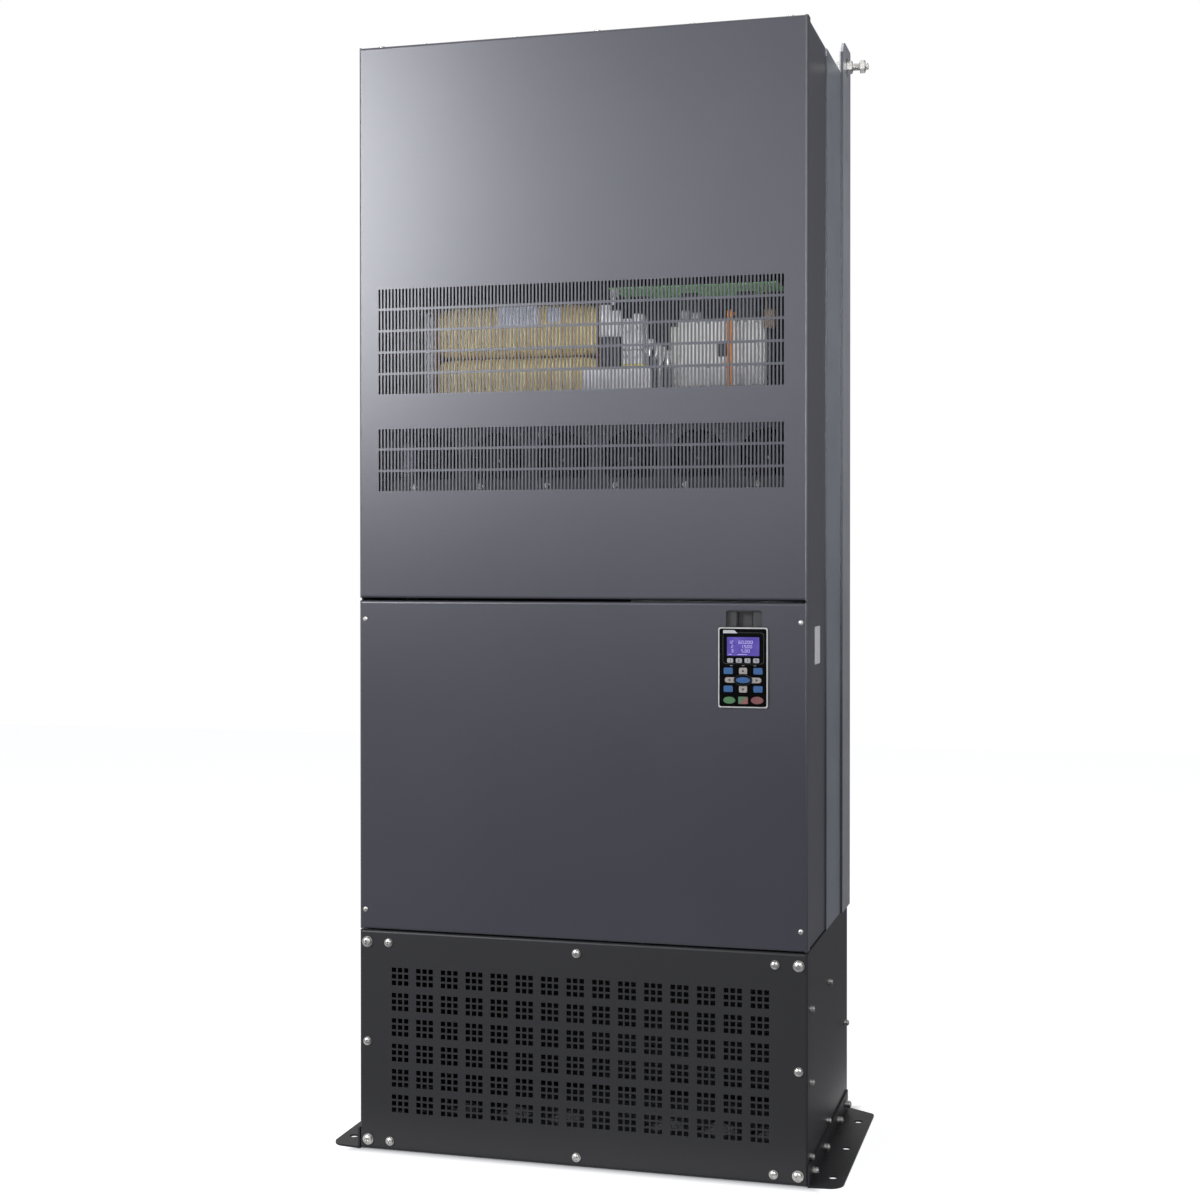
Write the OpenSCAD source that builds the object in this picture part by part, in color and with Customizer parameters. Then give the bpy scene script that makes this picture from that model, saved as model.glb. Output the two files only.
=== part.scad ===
// Floor-standing variable frequency drive on its conduit box.
// X runs across the front, the front faces -Y and Z is up. The origin is the
// middle of the footprint on the floor. Depths below are counted backward from
// the plane of the front covers and moved into place by from_front().

/* [Body] */
// Width over the sheet-metal covers
body_w = 700; // [640:10:760]
// Height of the body, without the lifting lugs
body_h = 1701.6; // [1690:0.2:1720]
// Depth from the front covers to the back of the rails
body_d = 404; // [398:1:420]
// Height of the conduit box at the bottom
box_h = 340; // [330:5:350]
// Height of the seam between the two covers
seam_z = 851.5; // [848:0.5:856]
// Gap between neighbouring covers
seam = 4; // [2:0.5:6]
// Thickness of the cover and case sheet
sheet = 2; // [1.5:0.5:2]
// Outside radius of the folded cover edges
fold_r = 4; // [3:0.5:5]

/* [Grilles] */
// Distance between neighbouring slots
slot_pitch = 5.57; // [5.4:0.01:5.6]
// Width of a slot
slot_w = 3; // [2.6:0.1:3.4]
// Height of a slot
slot_h = 29.2; // [26:0.2:29.6]
// Distance between the rows of slots
slot_row = 33; // [31:0.5:34]
// Slots in one row
slot_count = 114; // [90:1:114]
// Rows in the upper grille
upper_rows = 5; // [3:1:5]
// Rows in the lower grille
lower_rows = 3; // [1:1:3]
// Bottom edge of the upper grille
upper_grille_z = 1167; // [1165:1:1175]
// Bottom edge of the lower grille
lower_grille_z = 1018; // [1010:1:1020]

/* [Perforation] */
// Side of one square hole in the conduit box front
perf_hole = 7.2; // [6:0.1:7.8]
// Distance between the holes of one group
perf_pitch = 10.1; // [9.5:0.1:10.5]
// Distance between groups of three by three holes
perf_group = 40.2; // [38:0.2:41]
// Height step between the rows of groups
perf_rise = 39.2; // [38:0.2:40]
// Groups across the front
perf_columns = 15; // [5:1:15]
// Groups up the front
perf_rows = 6; // [2:1:6]

/* [Keypad] */
// Middle of the keypad from the drive's centre line
pad_x = 254.75; // [200:0.25:265]
// Bottom edge of the keypad
pad_z = 696; // [600:0.5:702]
// Width of the keypad
pad_w = 73.6; // [73.2:0.2:75]
// Height of the keypad
pad_h = 117.3; // [117:0.1:118.5]
// How far the keypad stands out of the lower cover
pad_out = 3; // [2:0.5:4]
// Travel of one key
key_travel = 0.8; // [0.4:0.1:0.8]
// Gap around each key in the face
key_gap = 0.2; // [0.15:0.05:0.3]

/* [Fans] */
// Number of cooling fans behind the lower grille
fan_count = 6; // [6:1:6]
// Distance between the fans
fan_pitch = 108; // [105:1:110]
// Height of the fans' axes
fan_z = 1068; // [1066:1:1069]
// Side of one fan's square housing
fan_side = 92; // [92:1:96]
// Depth of one fan's housing
fan_t = 25; // [25:1:32]
// Radius of a fan's bore and of its opening in the tray
fan_bore_r = 44; // [42:0.5:44.5]
// Blades on one rotor
fan_blades = 7; // [5:1:9]
// Radial clearance between a rotor's shaft and its bearing
bearing_gap = 0.05; // [0.03:0.01:0.08]

/* [Feet and lugs] */
// How far a foot reaches outside the body
foot_reach = 50; // [45:1:60]
// Length of a foot
foot_l = 391; // [385:1:395]
// Thickness of a foot
foot_t = 3; // [3:0.5:4]
// Distance between the floor holes along a foot
foot_hole_pitch = 137; // [130:1:140]
// Diameter of the floor holes, for M12
foot_hole_d = 14; // [13:0.5:14]
// Height of the lugs' tops
lug_top = 1752.5; // [1745:0.5:1756]
// Diameter of the lifting holes
lug_hole_d = 31; // [28:1:32]
// Depth of the rails that carry the lugs
rail_d = 85; // [80:1:90]

/* [Hidden] */
$fn = 48;
EPS = 0.01;
strip_step = 0.02;
half = body_w / 2;
bolt_out = 7;
front_y = -(body_d - bolt_out) / 2;
inner = half - sheet;
lower_top = seam_z - seam / 2;
upper_bottom = seam_z + seam / 2;
lower_bottom = box_h + 2;
top_z = body_h - sheet;
band_y = 177;
rail_y = body_d - rail_d;
lug_z = 1719;
lug_y = 367;
sink_z0 = 1175;
sink_z1 = 1670;
board_z = 1325;
slot_x0 = -slot_pitch * (slot_count - 1) / 2 - slot_w / 2 - 1.5;
// The lips of the two big covers stop short of the case sides.
lip_w = 2 * (inner - sheet) - 1;
pad_top = pad_z + pad_h;
pad_x0 = pad_x - pad_w / 2;
partition_y = 190;
fan_y = 108;
cover_screw_at = [[-340, 821], [340, 821], [-340, 372], [340, 372]];
box_bolt_at = [[-337, 322], [337, 322], [-336, 16], [336, 16]];
box_screw_at = [[-302, 322], [0, 322], [302, 322], [-337, 168], [337, 168], [-300, 15.5], [0, 15.5], [300, 15.5]];
box_side_at = [[25, 38], [25, 147], [25, 255], [200, 255], [185, 43], [375, 148]];
top_bolt_x = [-316, 30, 323];
top_screw_x = [-245, -99, 176];
foot_bolt_y = [30, 140, 278, 366];

// ---------- helpers ----------

// Moves a shape given by depths behind the front covers into the shared frame.
module from_front() {
  translate([0, front_y, 0]) children();
}

// A flat sheet in the XZ plane, from depth y to depth y + t.
module sheet_xz(y, t) {
  translate([0, y + t, 0]) rotate([90, 0, 0]) linear_extrude(t) children();
}

// A flat sheet in the YZ plane, from x to x + t; its 2D x is the depth.
module sheet_yz(x, t) {
  translate([x, 0, 0]) rotate([90, 0, 90]) linear_extrude(t) children();
}

// A box from one corner to the opposite one.
module block(a, b) {
  translate(a) cube(b - a);
}

module mirror_copy() {
  children();
  mirror([1, 0, 0]) children();
}

// A pin or hole along the depth.
module pin_y(x, z, y0, y1, d) {
  translate([x, y1, z]) rotate([90, 0, 0]) cylinder(d = d, h = y1 - y0);
}

// A pin or hole across the width.
module pin_x(x0, x1, y, z, d) {
  translate([x0, y, z]) rotate([0, 90, 0]) cylinder(d = d, h = x1 - x0);
}

module rounded(w, h, r) {
  translate([-w / 2 + r, -h / 2]) square([w - 2 * r, h]);
  translate([-w / 2, -h / 2 + r]) square([w, h - 2 * r]);
  for (x = [-1, 1], z = [-1, 1])
    translate([x * (w / 2 - r), z * (h / 2 - r)]) circle(r);
}

// The outline of a folded cover seen from above: a front and two sides.
module fold_outline(w, d, r) {
  translate([-w / 2 + r, 0]) square([w - 2 * r, d]);
  translate([-w / 2, r]) square([w, d - r]);
  for (x = [-1, 1]) translate([x * (w / 2 - r), r]) circle(r);
}

// The two folded side edges of a cover, without its flat front.
module side_folds(w, d, h) {
  linear_extrude(h) difference() {
    fold_outline(w, d, fold_r);
    translate([0, sheet]) fold_outline(w - 2 * sheet, d, fold_r - sheet);
    translate([-w / 2 + fold_r, -1]) square([w - 2 * fold_r, sheet + 2]);
  }
}

// The rounded fold and the lip along a cover's bottom edge (side 1) or its top
// edge (side -1).
module edge_fold(z, side, d, lip_w) {
  low = min(z, z + side * 2 * fold_r) - 1;
  fold_w = body_w - 2 * fold_r;
  sheet_yz(-fold_w / 2, fold_w) difference() {
    translate([fold_r, z + side * fold_r]) circle(fold_r);
    translate([fold_r, z + side * fold_r]) circle(fold_r - sheet);
    translate([fold_r, low]) square([fold_r + 1, 2 * fold_r + 2]);
    translate([-1, side > 0 ? z + fold_r : low]) square([2 * fold_r + 2, fold_r + 1]);
  }
  block([-lip_w / 2, fold_r, min(z, z + side * sheet)], [lip_w / 2, d, max(z, z + side * sheet)]);
}

// The folded sides and the top and bottom folds of a cover, without its front.
module cover_edges(z0, z1, d, lip_w) {
  translate([0, 0, z0]) side_folds(body_w, d, z1 - z0);
  edge_fold(z0, 1, d, lip_w);
  edge_fold(z1, -1, d, lip_w);
}

// One flat strip of a cover's front, from fold to fold; its children are cut out.
// Every other strip is a hair thinner, so that each row of holes keeps its own face.
module front_strip(z0, z1, i) {
  step = i % 2 * strip_step;
  sheet_xz(step, sheet - 2 * step) difference() {
    translate([-half + fold_r, z0]) square([body_w - 2 * fold_r, z1 - z0]);
    children();
  }
}

function dome_radius(d, rise) = (d * d / 4 + rise * rise) / (2 * rise);

// A screw along Z with its washer on the plane z = 0: flat washer, spring washer
// and a domed head with a cross recess, h high in all.
module pan_bolt(washer, head, h, d, l) {
  plate = 0.16 * h + 0.5;
  r = dome_radius(head, 0.3 * h);
  difference() {
    union() {
      cylinder(d = washer, h = plate);
      translate([0, 0, plate - EPS]) cylinder(d = 0.92 * head, h = plate + 2 * EPS);
      intersection() {
        translate([0, 0, 2 * plate]) cylinder(d = head, h = h - 2 * plate);
        translate([0, 0, h - r]) sphere(r);
      }
    }
    for (a = [0, 90]) rotate(a) translate([-0.3 * head, -0.065 * head, 0.76 * h]) cube([0.6 * head, 0.13 * head, h]);
  }
  translate([0, 0, -l]) cylinder(d = d, h = l + EPS);
}

// ---------- covers and case ----------

module slot_row_at(z) {
  for (i = [0 : slot_count - 1])
    translate([slot_x0 + i * slot_pitch, z]) square([slot_w, slot_h]);
}

// The upper cover's front as strips from bottom to top: [bottom, top, slotted].
upper_strips = concat(
  [[upper_bottom + fold_r, lower_grille_z, false]],
  [for (r = [0 : lower_rows - 1]) [lower_grille_z + r * slot_row, lower_grille_z + (r + 1) * slot_row, true]],
  [[lower_grille_z + lower_rows * slot_row, upper_grille_z, false]],
  [for (r = [0 : upper_rows - 1]) [upper_grille_z + r * slot_row, upper_grille_z + (r + 1) * slot_row, true]],
  [[upper_grille_z + upper_rows * slot_row, body_h - fold_r, false]]
);

module upper_cover() {
  color("dimgray") from_front() for (i = [-2 : len(upper_strips) - 1]) {
    if (i == -2) {
      translate([0, 0, upper_bottom]) side_folds(body_w, 20, body_h - upper_bottom);
    } else if (i == -1) {
      edge_fold(upper_bottom, 1, 20, lip_w);
      difference() {
        edge_fold(body_h, -1, 20, 2 * inner);
        for (x = concat(top_bolt_x, top_screw_x))
          translate([x, 11, top_z - 1]) cylinder(d = 6.4, h = 4);
      }
    } else {
      front_strip(upper_strips[i][0], upper_strips[i][1], i)
        if (upper_strips[i][2]) slot_row_at(upper_strips[i][0]);
    }
  }
}

// The keypad's opening and the finger notch above it.
module pad_opening(gap) {
  translate([pad_x, pad_z + pad_h / 2]) rounded(pad_w + 2 * gap, pad_h + 2 * gap, 3);
  translate(notch_mid) rounded(53.6, 28, 4);
}

module lower_cover() {
  color("dimgray") from_front() {
    cover_edges(lower_bottom, lower_top, 20, lip_w);
    front_strip(lower_bottom + fold_r, lower_top - fold_r, 0) {
      pad_opening(0.6);
      for (p = cover_screw_at) translate(p) circle(d = 4.4);
    }
  }
}

module cover_screws() {
  color("silver") from_front() {
    for (p = cover_screw_at) translate([p[0], 0, p[1]]) rotate([90, 0, 0]) {
      difference() {
        intersection() {
          cylinder(d = 7.4, h = 2.4);
          translate([0, 0, -3.2]) sphere(5.6);
        }
        for (a = [0, 90]) rotate(a) translate([-2.2, -0.4, 1.4]) cube([4.4, 0.8, 2]);
      }
      translate([0, 0, -12]) cylinder(d = 4, h = 12 + EPS);
    }
    for (x = top_bolt_x) translate([x, 11, body_h]) pan_bolt(11.5, 9.6, 3.6, 6, 12);
    for (x = top_screw_x) translate([x, 11, body_h]) pan_bolt(12, 9, 3, 6, 12);
  }
}

// One sheet with its front edge folded in for the covers' screws, and its rear
// edge folded in for the partition plate. The front is notched at the covers' folds.
module case_side() {
  difference() {
    translate([0, 0, lower_bottom]) linear_extrude(top_z - sheet - lower_bottom) {
      translate([inner - sheet, 2 * sheet]) square([sheet, partition_y - 2 * sheet]);
      translate([inner - 30, sheet]) square([30 - sheet, sheet]);
      translate([inner - 20, partition_y - sheet]) square([20, sheet]);
      intersection() {
        translate([inner - sheet, 2 * sheet]) circle(sheet - 0.1);
        translate([inner - sheet, sheet]) square(sheet);
      }
    }
    for (p = cover_screw_at) pin_y(p[0], p[1], 0, 6, 4.2);
    for (z = [[lower_bottom - 1, lower_bottom], [lower_top, upper_bottom], [body_h, body_h + 1]])
      block([inner - 31, 1, z[0] - fold_r - 0.5], [inner + 1, 2 * sheet + 0.3, z[1] + fold_r + 0.5]);
  }
}

module case_side_left() {
  color("dimgray") from_front() mirror([1, 0, 0]) case_side();
}

module case_side_right() {
  color("dimgray") from_front() case_side();
}

module top_cover() {
  duct_y = 244;
  color("lightslategray") from_front() {
    difference() {
      union() {
        block([-inner, fold_r, top_z - sheet], [inner, body_d - 6, top_z]);
        // The collar around the air outlet of the heat sink's duct.
        block([-inner + 28, duct_y - 2, top_z - EPS], [inner - 28, body_d - 12, top_z + 10]);
      }
      for (x = concat(top_bolt_x, top_screw_x))
        translate([x, 11, top_z - 4]) cylinder(d = 6.2, h = 8);
      // Slots between the bars that keep tools out of the duct.
      for (i = [0 : 15])
        block([-inner + 30 + i * 39.875, duct_y, top_z - 5], [-inner + 67.875 + i * 39.875, body_d - 14, top_z + 11]);
    }
    mirror_copy()
      block([inner, band_y, 1688.5], [half, body_d - 6, top_z]);
  }
}

// The galvanised back of the drive: one sheet folded into two sides and a back.
module rear_chassis() {
  color("slategray") from_front() {
    mirror_copy() {
      sheet_yz(inner, sheet)
        translate([band_y, box_h]) square([body_d - 4 - band_y, 1688 - box_h]);
    }
    block([-inner - EPS, body_d - 6, box_h], [inner + EPS, body_d - 4, top_z]);
  }
}

// The outline of a rail's side leg with its rounded lifting lug on top.
module rail_outline() {
  difference() {
    union() {
      translate([rail_y, box_h]) square([rail_d, lug_top - 25 - box_h]);
      translate([rail_y + 25, lug_top - 26]) square([rail_d - 30, 26]);
      translate([rail_y + 25, lug_top - 25]) circle(25);
      translate([body_d - 6, lug_top - 26]) square([6, 21]);
      translate([body_d - 5, lug_top - 5]) circle(5);
    }
    translate([lug_y, lug_z]) circle(d = lug_hole_d);
  }
}

module rail() {
  sheet_yz(half, 4) rail_outline();
  // The rear leg closes the back corner.
  block([half - 46, body_d - 4, box_h], [half + EPS, body_d, 1700]);
  // A doubler welded behind the lug seats the lifting stud.
  sheet_yz(half - 4, 4) difference() {
    translate([335, 1702]) square([65, 36]);
    translate([lug_y, lug_z]) circle(d = 13);
  }
}

module rail_left() {
  color("lightsteelblue") from_front() mirror([1, 0, 0]) rail();
}

module rail_right() {
  color("lightsteelblue") from_front() rail();
}

module lifting_stud() {
  translate([half - 22, lug_y, lug_z]) rotate([0, 90, 0]) {
    cylinder(d = 12, h = 60.5);
    // Nut behind the doubler, flanged nut in the lug's hole and outer nut.
    translate([0, 0, 8]) cylinder(d = 19 / cos(30), h = 10, $fn = 6);
    translate([0, 0, 22]) cylinder(d = 26, h = 2.5);
    translate([0, 0, 24]) cylinder(d = 19 / cos(30), h = 10.5, $fn = 6);
    translate([0, 0, 47]) cylinder(d = 19 / cos(30), h = 8.4, $fn = 6);
  }
}

module lifting_studs() {
  color("silver") from_front() mirror_copy() lifting_stud();
}

// The wall between the front compartment and the heat sink's air duct.
module partition_plate() {
  color("slategray") from_front() {
    sheet_xz(partition_y, sheet) difference() {
      translate([-inner + sheet, lower_bottom]) square([2 * inner - 4, top_z - sheet - lower_bottom]);
      translate([-290, 1380]) square([580, sink_z1 - 1390]);
      for (i = [0 : fan_count - 1]) translate([fan_x(i), fan_z]) circle(fan_bore_r);
    }
    // Tabs that carry the driver board and the choke's brackets.
    for (x = [40, 255])
      block([x, 150, board_z - 2], [x + 30, partition_y + EPS, board_z]);
    for (x = choke_end)
      block([x - 10, 150, 1150], [x + 10, partition_y + EPS, 1152]);
  }
}

// ---------- conduit box ----------

// One row of hole groups, three by three square holes each.
module perforation_row(z) {
  for (column = [0 : perf_columns - 1], i = [0 : 2], j = [0 : 2])
    translate([
      (column - (perf_columns - 1) / 2) * perf_group + (i - 1) * perf_pitch - perf_hole / 2 - 1.9,
      z + j * perf_pitch
    ]) square(perf_hole);
}

perf_z = 56;
box_strips = concat(
  [[2 + fold_r, perf_z, false]],
  [for (r = [0 : perf_rows - 1]) [perf_z + r * perf_rise, perf_z + (r + 1) * perf_rise, true]],
  [[perf_z + perf_rows * perf_rise, box_h - fold_r, false]]
);

module box_front_panel() {
  color([0.23, 0.23, 0.24]) from_front() for (i = [-1 : len(box_strips) - 1]) {
    if (i == -1) {
      cover_edges(2, box_h, 14, 2 * inner);
    } else {
      front_strip(box_strips[i][0], box_strips[i][1], i) {
        if (box_strips[i][2]) perforation_row(box_strips[i][0] + 4.6);
        for (p = box_bolt_at) translate(p) circle(d = 8.4);
        for (p = box_screw_at) translate(p) circle(d = 6.4);
      }
    }
  }
}

module box_side() {
  sheet_yz(inner, sheet) difference() {
    translate([15, 0]) square([body_d - 19, box_h]);
    for (p = box_side_at) translate(p) circle(d = 6.4);
    for (y = foot_bolt_y) translate([y, 16]) circle(d = 8.4);
  }
}

module box_side_left() {
  color([0.23, 0.23, 0.24]) from_front() mirror([1, 0, 0]) box_side();
}

module box_side_right() {
  color([0.23, 0.23, 0.24]) from_front() box_side();
}

// The welded frame inside the conduit box carries the panels and the drive.
module box_frame() {
  z0 = 4;
  z1 = box_h - sheet;
  color("gray") from_front() difference() {
    union() {
      // Front ring behind the perforated panel.
      sheet_xz(sheet, sheet) difference() {
        translate([-inner + sheet + 0.5, fold_r + 2.5]) square([body_w - 9, box_h - 2 * fold_r - 3]);
        translate([-inner + 28, 32]) square([body_w - 60, z1 - 62]);
      }
      // Top plate with the wire way up into the drive.
      difference() {
        block([-inner, 14, z1], [inner, body_d - 4, box_h]);
        block([-300, 40, z1 - 1], [300, 190, box_h + 1]);
      }
      mirror_copy() {
        block([inner - sheet - 1, 2 * sheet - EPS, z0], [inner, 42, z1]);
        block([inner - sheet, 170, z0], [inner, 215, z1 + EPS]);
        block([inner - sheet, 350, z0], [inner, body_d - 6, z1 + EPS]);
        block([inner - sheet, 2 * sheet, z0], [inner, body_d - 6, 32]);
      }
      // Back sheet and the bottom flanges under the gland plate.
      block([-inner, body_d - 6, 0], [inner, body_d - 4, z1 + EPS]);
      difference() {
        block([-inner + sheet, 2 * sheet, z0], [inner - sheet, body_d - 5, z0 + sheet]);
        block([-290, 60, z0 - 1], [290, 350, z0 + 3]);
      }
    }
    for (p = box_bolt_at) pin_y(p[0], p[1], 0, 6, 8.2);
    for (p = box_screw_at) pin_y(p[0], p[1], 0, 6, 6.2);
    for (side = [-1, 1], p = box_side_at)
      pin_x(side * (inner - 1) - 4, side * (inner - 1) + 4, p[0], p[1], 6.2);
    for (side = [-1, 1], y = foot_bolt_y)
      pin_x(side * (inner - 1) - 4, side * (inner - 1) + 4, y, 16, 8.2);
    for (p = gland_screw_at) translate([p[0], p[1], 0]) cylinder(d = 6.2, h = 8);
  }
}

gland_screw_at = [[-305, 75], [305, 75], [-305, 205], [305, 205], [-305, 335], [305, 335]];
gland_hole_at = [for (i = [-1 : 1], side = [-1, 1]) [side * 170 + i * 85, 205]];

module gland_plate() {
  color("lightgray") from_front() translate([0, 0, 6]) linear_extrude(3) difference() {
    translate([-320, 50]) square([640, 310]);
    for (p = gland_hole_at) translate(p) circle(d = 63.5);
    for (x = [-40, 40]) translate([x, 120]) circle(d = 25.5);
    for (p = gland_screw_at) translate(p) circle(d = 6.4);
  }
}

module box_fasteners() {
  color("silver") from_front() {
    for (p = box_bolt_at) translate([p[0], 0, p[1]]) rotate([90, 0, 0]) pan_bolt(17, 13, bolt_out, 8, 16);
    for (p = box_screw_at) translate([p[0], 0, p[1]]) rotate([90, 0, 0]) pan_bolt(13.5, 10.4, 5.6, 6, 12);
    for (side = [-1, 1], p = box_side_at)
      translate([side * half, p[0], p[1]]) rotate([0, 90 * side, 0]) pan_bolt(9.8, 9.2, 7.4, 6, 12);
    for (p = gland_screw_at) translate([p[0], p[1], 9]) {
      cylinder(d = 10 / cos(30), h = 4, $fn = 6);
      translate([0, 0, -8]) cylinder(d = 6, h = 8 + EPS);
    }
    for (side = [-1, 1], y = foot_bolt_y)
      translate([side * (half + foot_t), y, 16]) rotate([0, 90 * side, 0]) pan_bolt(13, 11.6, 9.6, 8, 19);
  }
}

// ---------- feet ----------

// A foot is an angle with a slanted rear end and two rounded outer corners.
module foot() {
  tip = half + foot_reach;
  difference() {
    union() {
      linear_extrude(foot_t) {
        polygon([
          [half, 0], [tip - 22, 3], [tip - 22, 25], [tip, 25],
          [tip, foot_l - 31], [tip - 6, foot_l - 20.6], [half + 8, foot_l], [half, foot_l]
        ]);
        translate([tip - 22, 25]) circle(22);
        translate([tip - 12, foot_l - 31]) circle(12);
      }
      block([half, 0, 0], [half + foot_t, foot_l, 33]);
    }
    for (i = [-1 : 1])
      translate([half + 30, 184 + i * foot_hole_pitch, -1]) cylinder(d = foot_hole_d, h = foot_t + 2);
    for (y = foot_bolt_y) pin_x(half - 1, half + foot_t + 1, y, 16, 8.4);
  }
}

module foot_left() {
  color([0.25, 0.25, 0.26]) from_front() mirror([1, 0, 0]) foot();
}

module foot_right() {
  color([0.25, 0.25, 0.26]) from_front() foot();
}

// ---------- power section ----------

module heatsink() {
  fins = 36;
  color("lightgray") from_front() {
    block([-300, partition_y + sheet, sink_z0], [300, partition_y + 16, sink_z1]);
    for (i = [0 : fins - 1])
      block([-299 + i * 17, partition_y + 15, sink_z0], [-296 + i * 17, body_d - 12, sink_z1]);
  }
}

// Capacitors hang on the busbars, and the busbars on the modules' terminals.
bar_y = [136, 141];
cap_at = [for (j = [0 : 2], i = [0 : 6]) [-270 + i * 90, 1400 + j * 95]];
module_x = [for (i = [0 : 5]) -250 + i * 100];

module power_modules() {
  color([0.16, 0.16, 0.17]) from_front() for (x = module_x) {
    // Body with its base plate and mounting ears.
    block([x - 31, 154, 1402], [x + 31, partition_y + sheet, 1564]);
    block([x - 26, 152, 1408], [x + 26, 154 + EPS, 1558]);
    // Terminals to the rear busbar, to the front busbar and to the motor side.
    translate([x, 152 + EPS, 1425]) rotate([90, 0, 0]) cylinder(d = 12, h = 152 - bar_y[1] - 2);
    translate([x, 152 + EPS, 1465]) rotate([90, 0, 0]) cylinder(d = 12, h = 152 - bar_y[0] - 2);
    translate([x, 152 + EPS, 1535]) rotate([90, 0, 0]) cylinder(d = 14, h = 3);
  }
}

module dc_capacitors() {
  can = 82;
  y0 = 132 - can;
  color([0.2, 0.2, 0.22]) from_front() for (p = cap_at)
    translate([p[0], y0, p[1]]) rotate([-90, 0, 0]) difference() {
      union() {
        cylinder(d = 76, h = can - 4);
        cylinder(d = 72, h = can);
        translate([-15, 0, can - EPS]) cylinder(d = 12, h = bar_y[0] - 132 + EPS);
        translate([15, 0, can - EPS]) cylinder(d = 12, h = bar_y[1] - 132 + EPS);
      }
      // Safety vent in the closed end.
      translate([0, 0, -1]) cylinder(d = 14, h = 2);
      rotate_extrude() translate([36, 6]) square([3, 2]);
    }
}

module busbars() {
  color("peru") from_front() {
    sheet_xz(bar_y[0], 2) difference() {
      translate([-318, 1352]) square([636, 286]);
      for (p = cap_at) translate([p[0] + 15, p[1]]) circle(d = 20);
      for (x = module_x) translate([x, 1425]) circle(d = 20);
    }
    sheet_xz(bar_y[1], 2) difference() {
      translate([-318, 1352]) square([636, 286]);
      for (x = module_x) translate([x, 1465]) circle(d = 20);
    }
    // Tails that go down to the rectifier.
    block([128, bar_y[0], 1262], [158, bar_y[0] + 2, 1352 + EPS]);
    block([216, bar_y[1], 1284], [246, bar_y[1] + 2, 1352 + EPS]);
  }
}

// The direct-current choke: two coils lie one above the other on a closed core.
coil_z = [1190, 1272];
coil_x = [-267, 4];
// Middles of the core's yokes at the coils' ends.
choke_end = [coil_x[0] - 12, coil_x[1] + 12];

module choke_core() {
  color("dimgray") from_front() {
    for (z = coil_z) block([choke_end[0], 122, z - 25], [choke_end[1], 172, z + 25]);
    for (x = choke_end) {
      block([x - 11, 122, coil_z[0] - 25], [x + 11, 172, coil_z[1] + 25]);
      // A sheet bracket with a rounded ear stands on the partition's tab.
      sheet_xz(119, 3 + EPS) difference() {
        union() {
          translate([x - 7, 1152]) square([14, 150]);
          translate([x, 1302]) circle(7);
        }
        translate([x, 1302]) circle(d = 5);
      }
      block([x - 7, 119, 1152], [x + 7, partition_y, 1155]);
    }
  }
}

module choke_coils() {
  color("khaki") from_front() for (z = coil_z)
    translate([coil_x[0], 147, z]) rotate([90, 0, 90]) linear_extrude(coil_x[1] - coil_x[0]) difference() {
      rounded(84, 80, 16);
      square(50.4, center = true);
    }
}

module rectifier_unit() {
  color("wheat") from_front() {
    difference() {
      block([125, 140, 1180], [262, partition_y, 1284]);
      for (i = [0 : 5]) block([131 + i * 21, 138, 1232], [145 + i * 21, 146, 1240]);
    }
    pin_y(143, 1272, bar_y[0] + 2, 140 + EPS, 12);
    for (i = [0 : 2]) block([136 + i * 42, 128, 1188], [164 + i * 42, 140 + EPS, 1222]);
    block([226, 134, 1244], [256, 140 + EPS, 1274]);
  }
}

module driver_board() {
  color("seagreen") from_front() {
    difference() {
      block([33, 62, board_z], [294, partition_y, board_z + 1.6]);
      // Ways for the busbars' tails.
      block([124, bar_y[0] - 4, board_z - 1], [162, bar_y[0] + 6, board_z + 3]);
      block([212, bar_y[1] - 4, board_z - 1], [250, bar_y[1] + 6, board_z + 3]);
    }
    for (i = [0 : 4]) block([46 + i * 48, 74, board_z + 1.5], [70 + i * 48, 96, board_z + 17]);
    for (i = [0 : 6]) translate([52 + i * 36, 114, board_z + 1.5]) cylinder(d = 12, h = 16);
  }
}

module control_tray() {
  color("lightgray") from_front() difference() {
    union() {
      block([60, 92, 560], [inner - sheet, 94, 850]);
      block([60, 94 - EPS, 560], [62, 108, 850]);
      block([inner - 4, 94 - EPS, 560], [inner - sheet, partition_y - sheet, 850]);
      for (x = [90, 310], z = [585, 825]) pin_y(x, z, 86, 92 + EPS, 7);
    }
    for (x = [90, 310], z = [585, 825]) pin_y(x, z, 80, 95, 3.2);
    for (z = [610 : 60 : 790]) block([120, 91, z], [280, 95, z + 12]);
  }
}

module control_board() {
  color("seagreen") from_front() difference() {
    union() {
      block([80, 84.4, 575], [320, 86, 835]);
      block([90, 74, 580], [300, 84.4 + EPS, 592]);
      block([90, 74, 604], [200, 84.4 + EPS, 616]);
      block([150, 79, 660], [186, 84.4 + EPS, 696]);
      block([226, 70, 735], [286, 84.4 + EPS, 752]);
      for (i = [0 : 4]) translate([100 + i * 16, 84.4 + EPS, 800]) rotate([90, 0, 0]) cylinder(d = 10, h = 14);
    }
    for (x = [90, 310], z = [585, 825]) pin_y(x, z, 60, 90, 3.4);
  }
}

module terminal_block() {
  color([0.14, 0.14, 0.15]) from_front() {
    difference() {
      block([-300, 120, 420], [300, partition_y, 470]);
      for (i = [0 : 6]) block([-288 + i * 84, 110, 426], [-216 + i * 84, 150, 464]);
    }
    for (i = [0 : 6]) translate([-252 + i * 84, 150 + EPS, 445]) rotate([90, 0, 0]) {
      cylinder(d = 12, h = 28);
      translate([0, 0, 2]) cylinder(d = 18 / cos(30), h = 10, $fn = 6);
    }
  }
}

module supply_lead() {
  color("orangered") from_front() translate([211, 112, fan_z + 52]) cylinder(d = 7, h = board_z - fan_z - 52);
}

// ---------- cooling fans ----------

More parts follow.
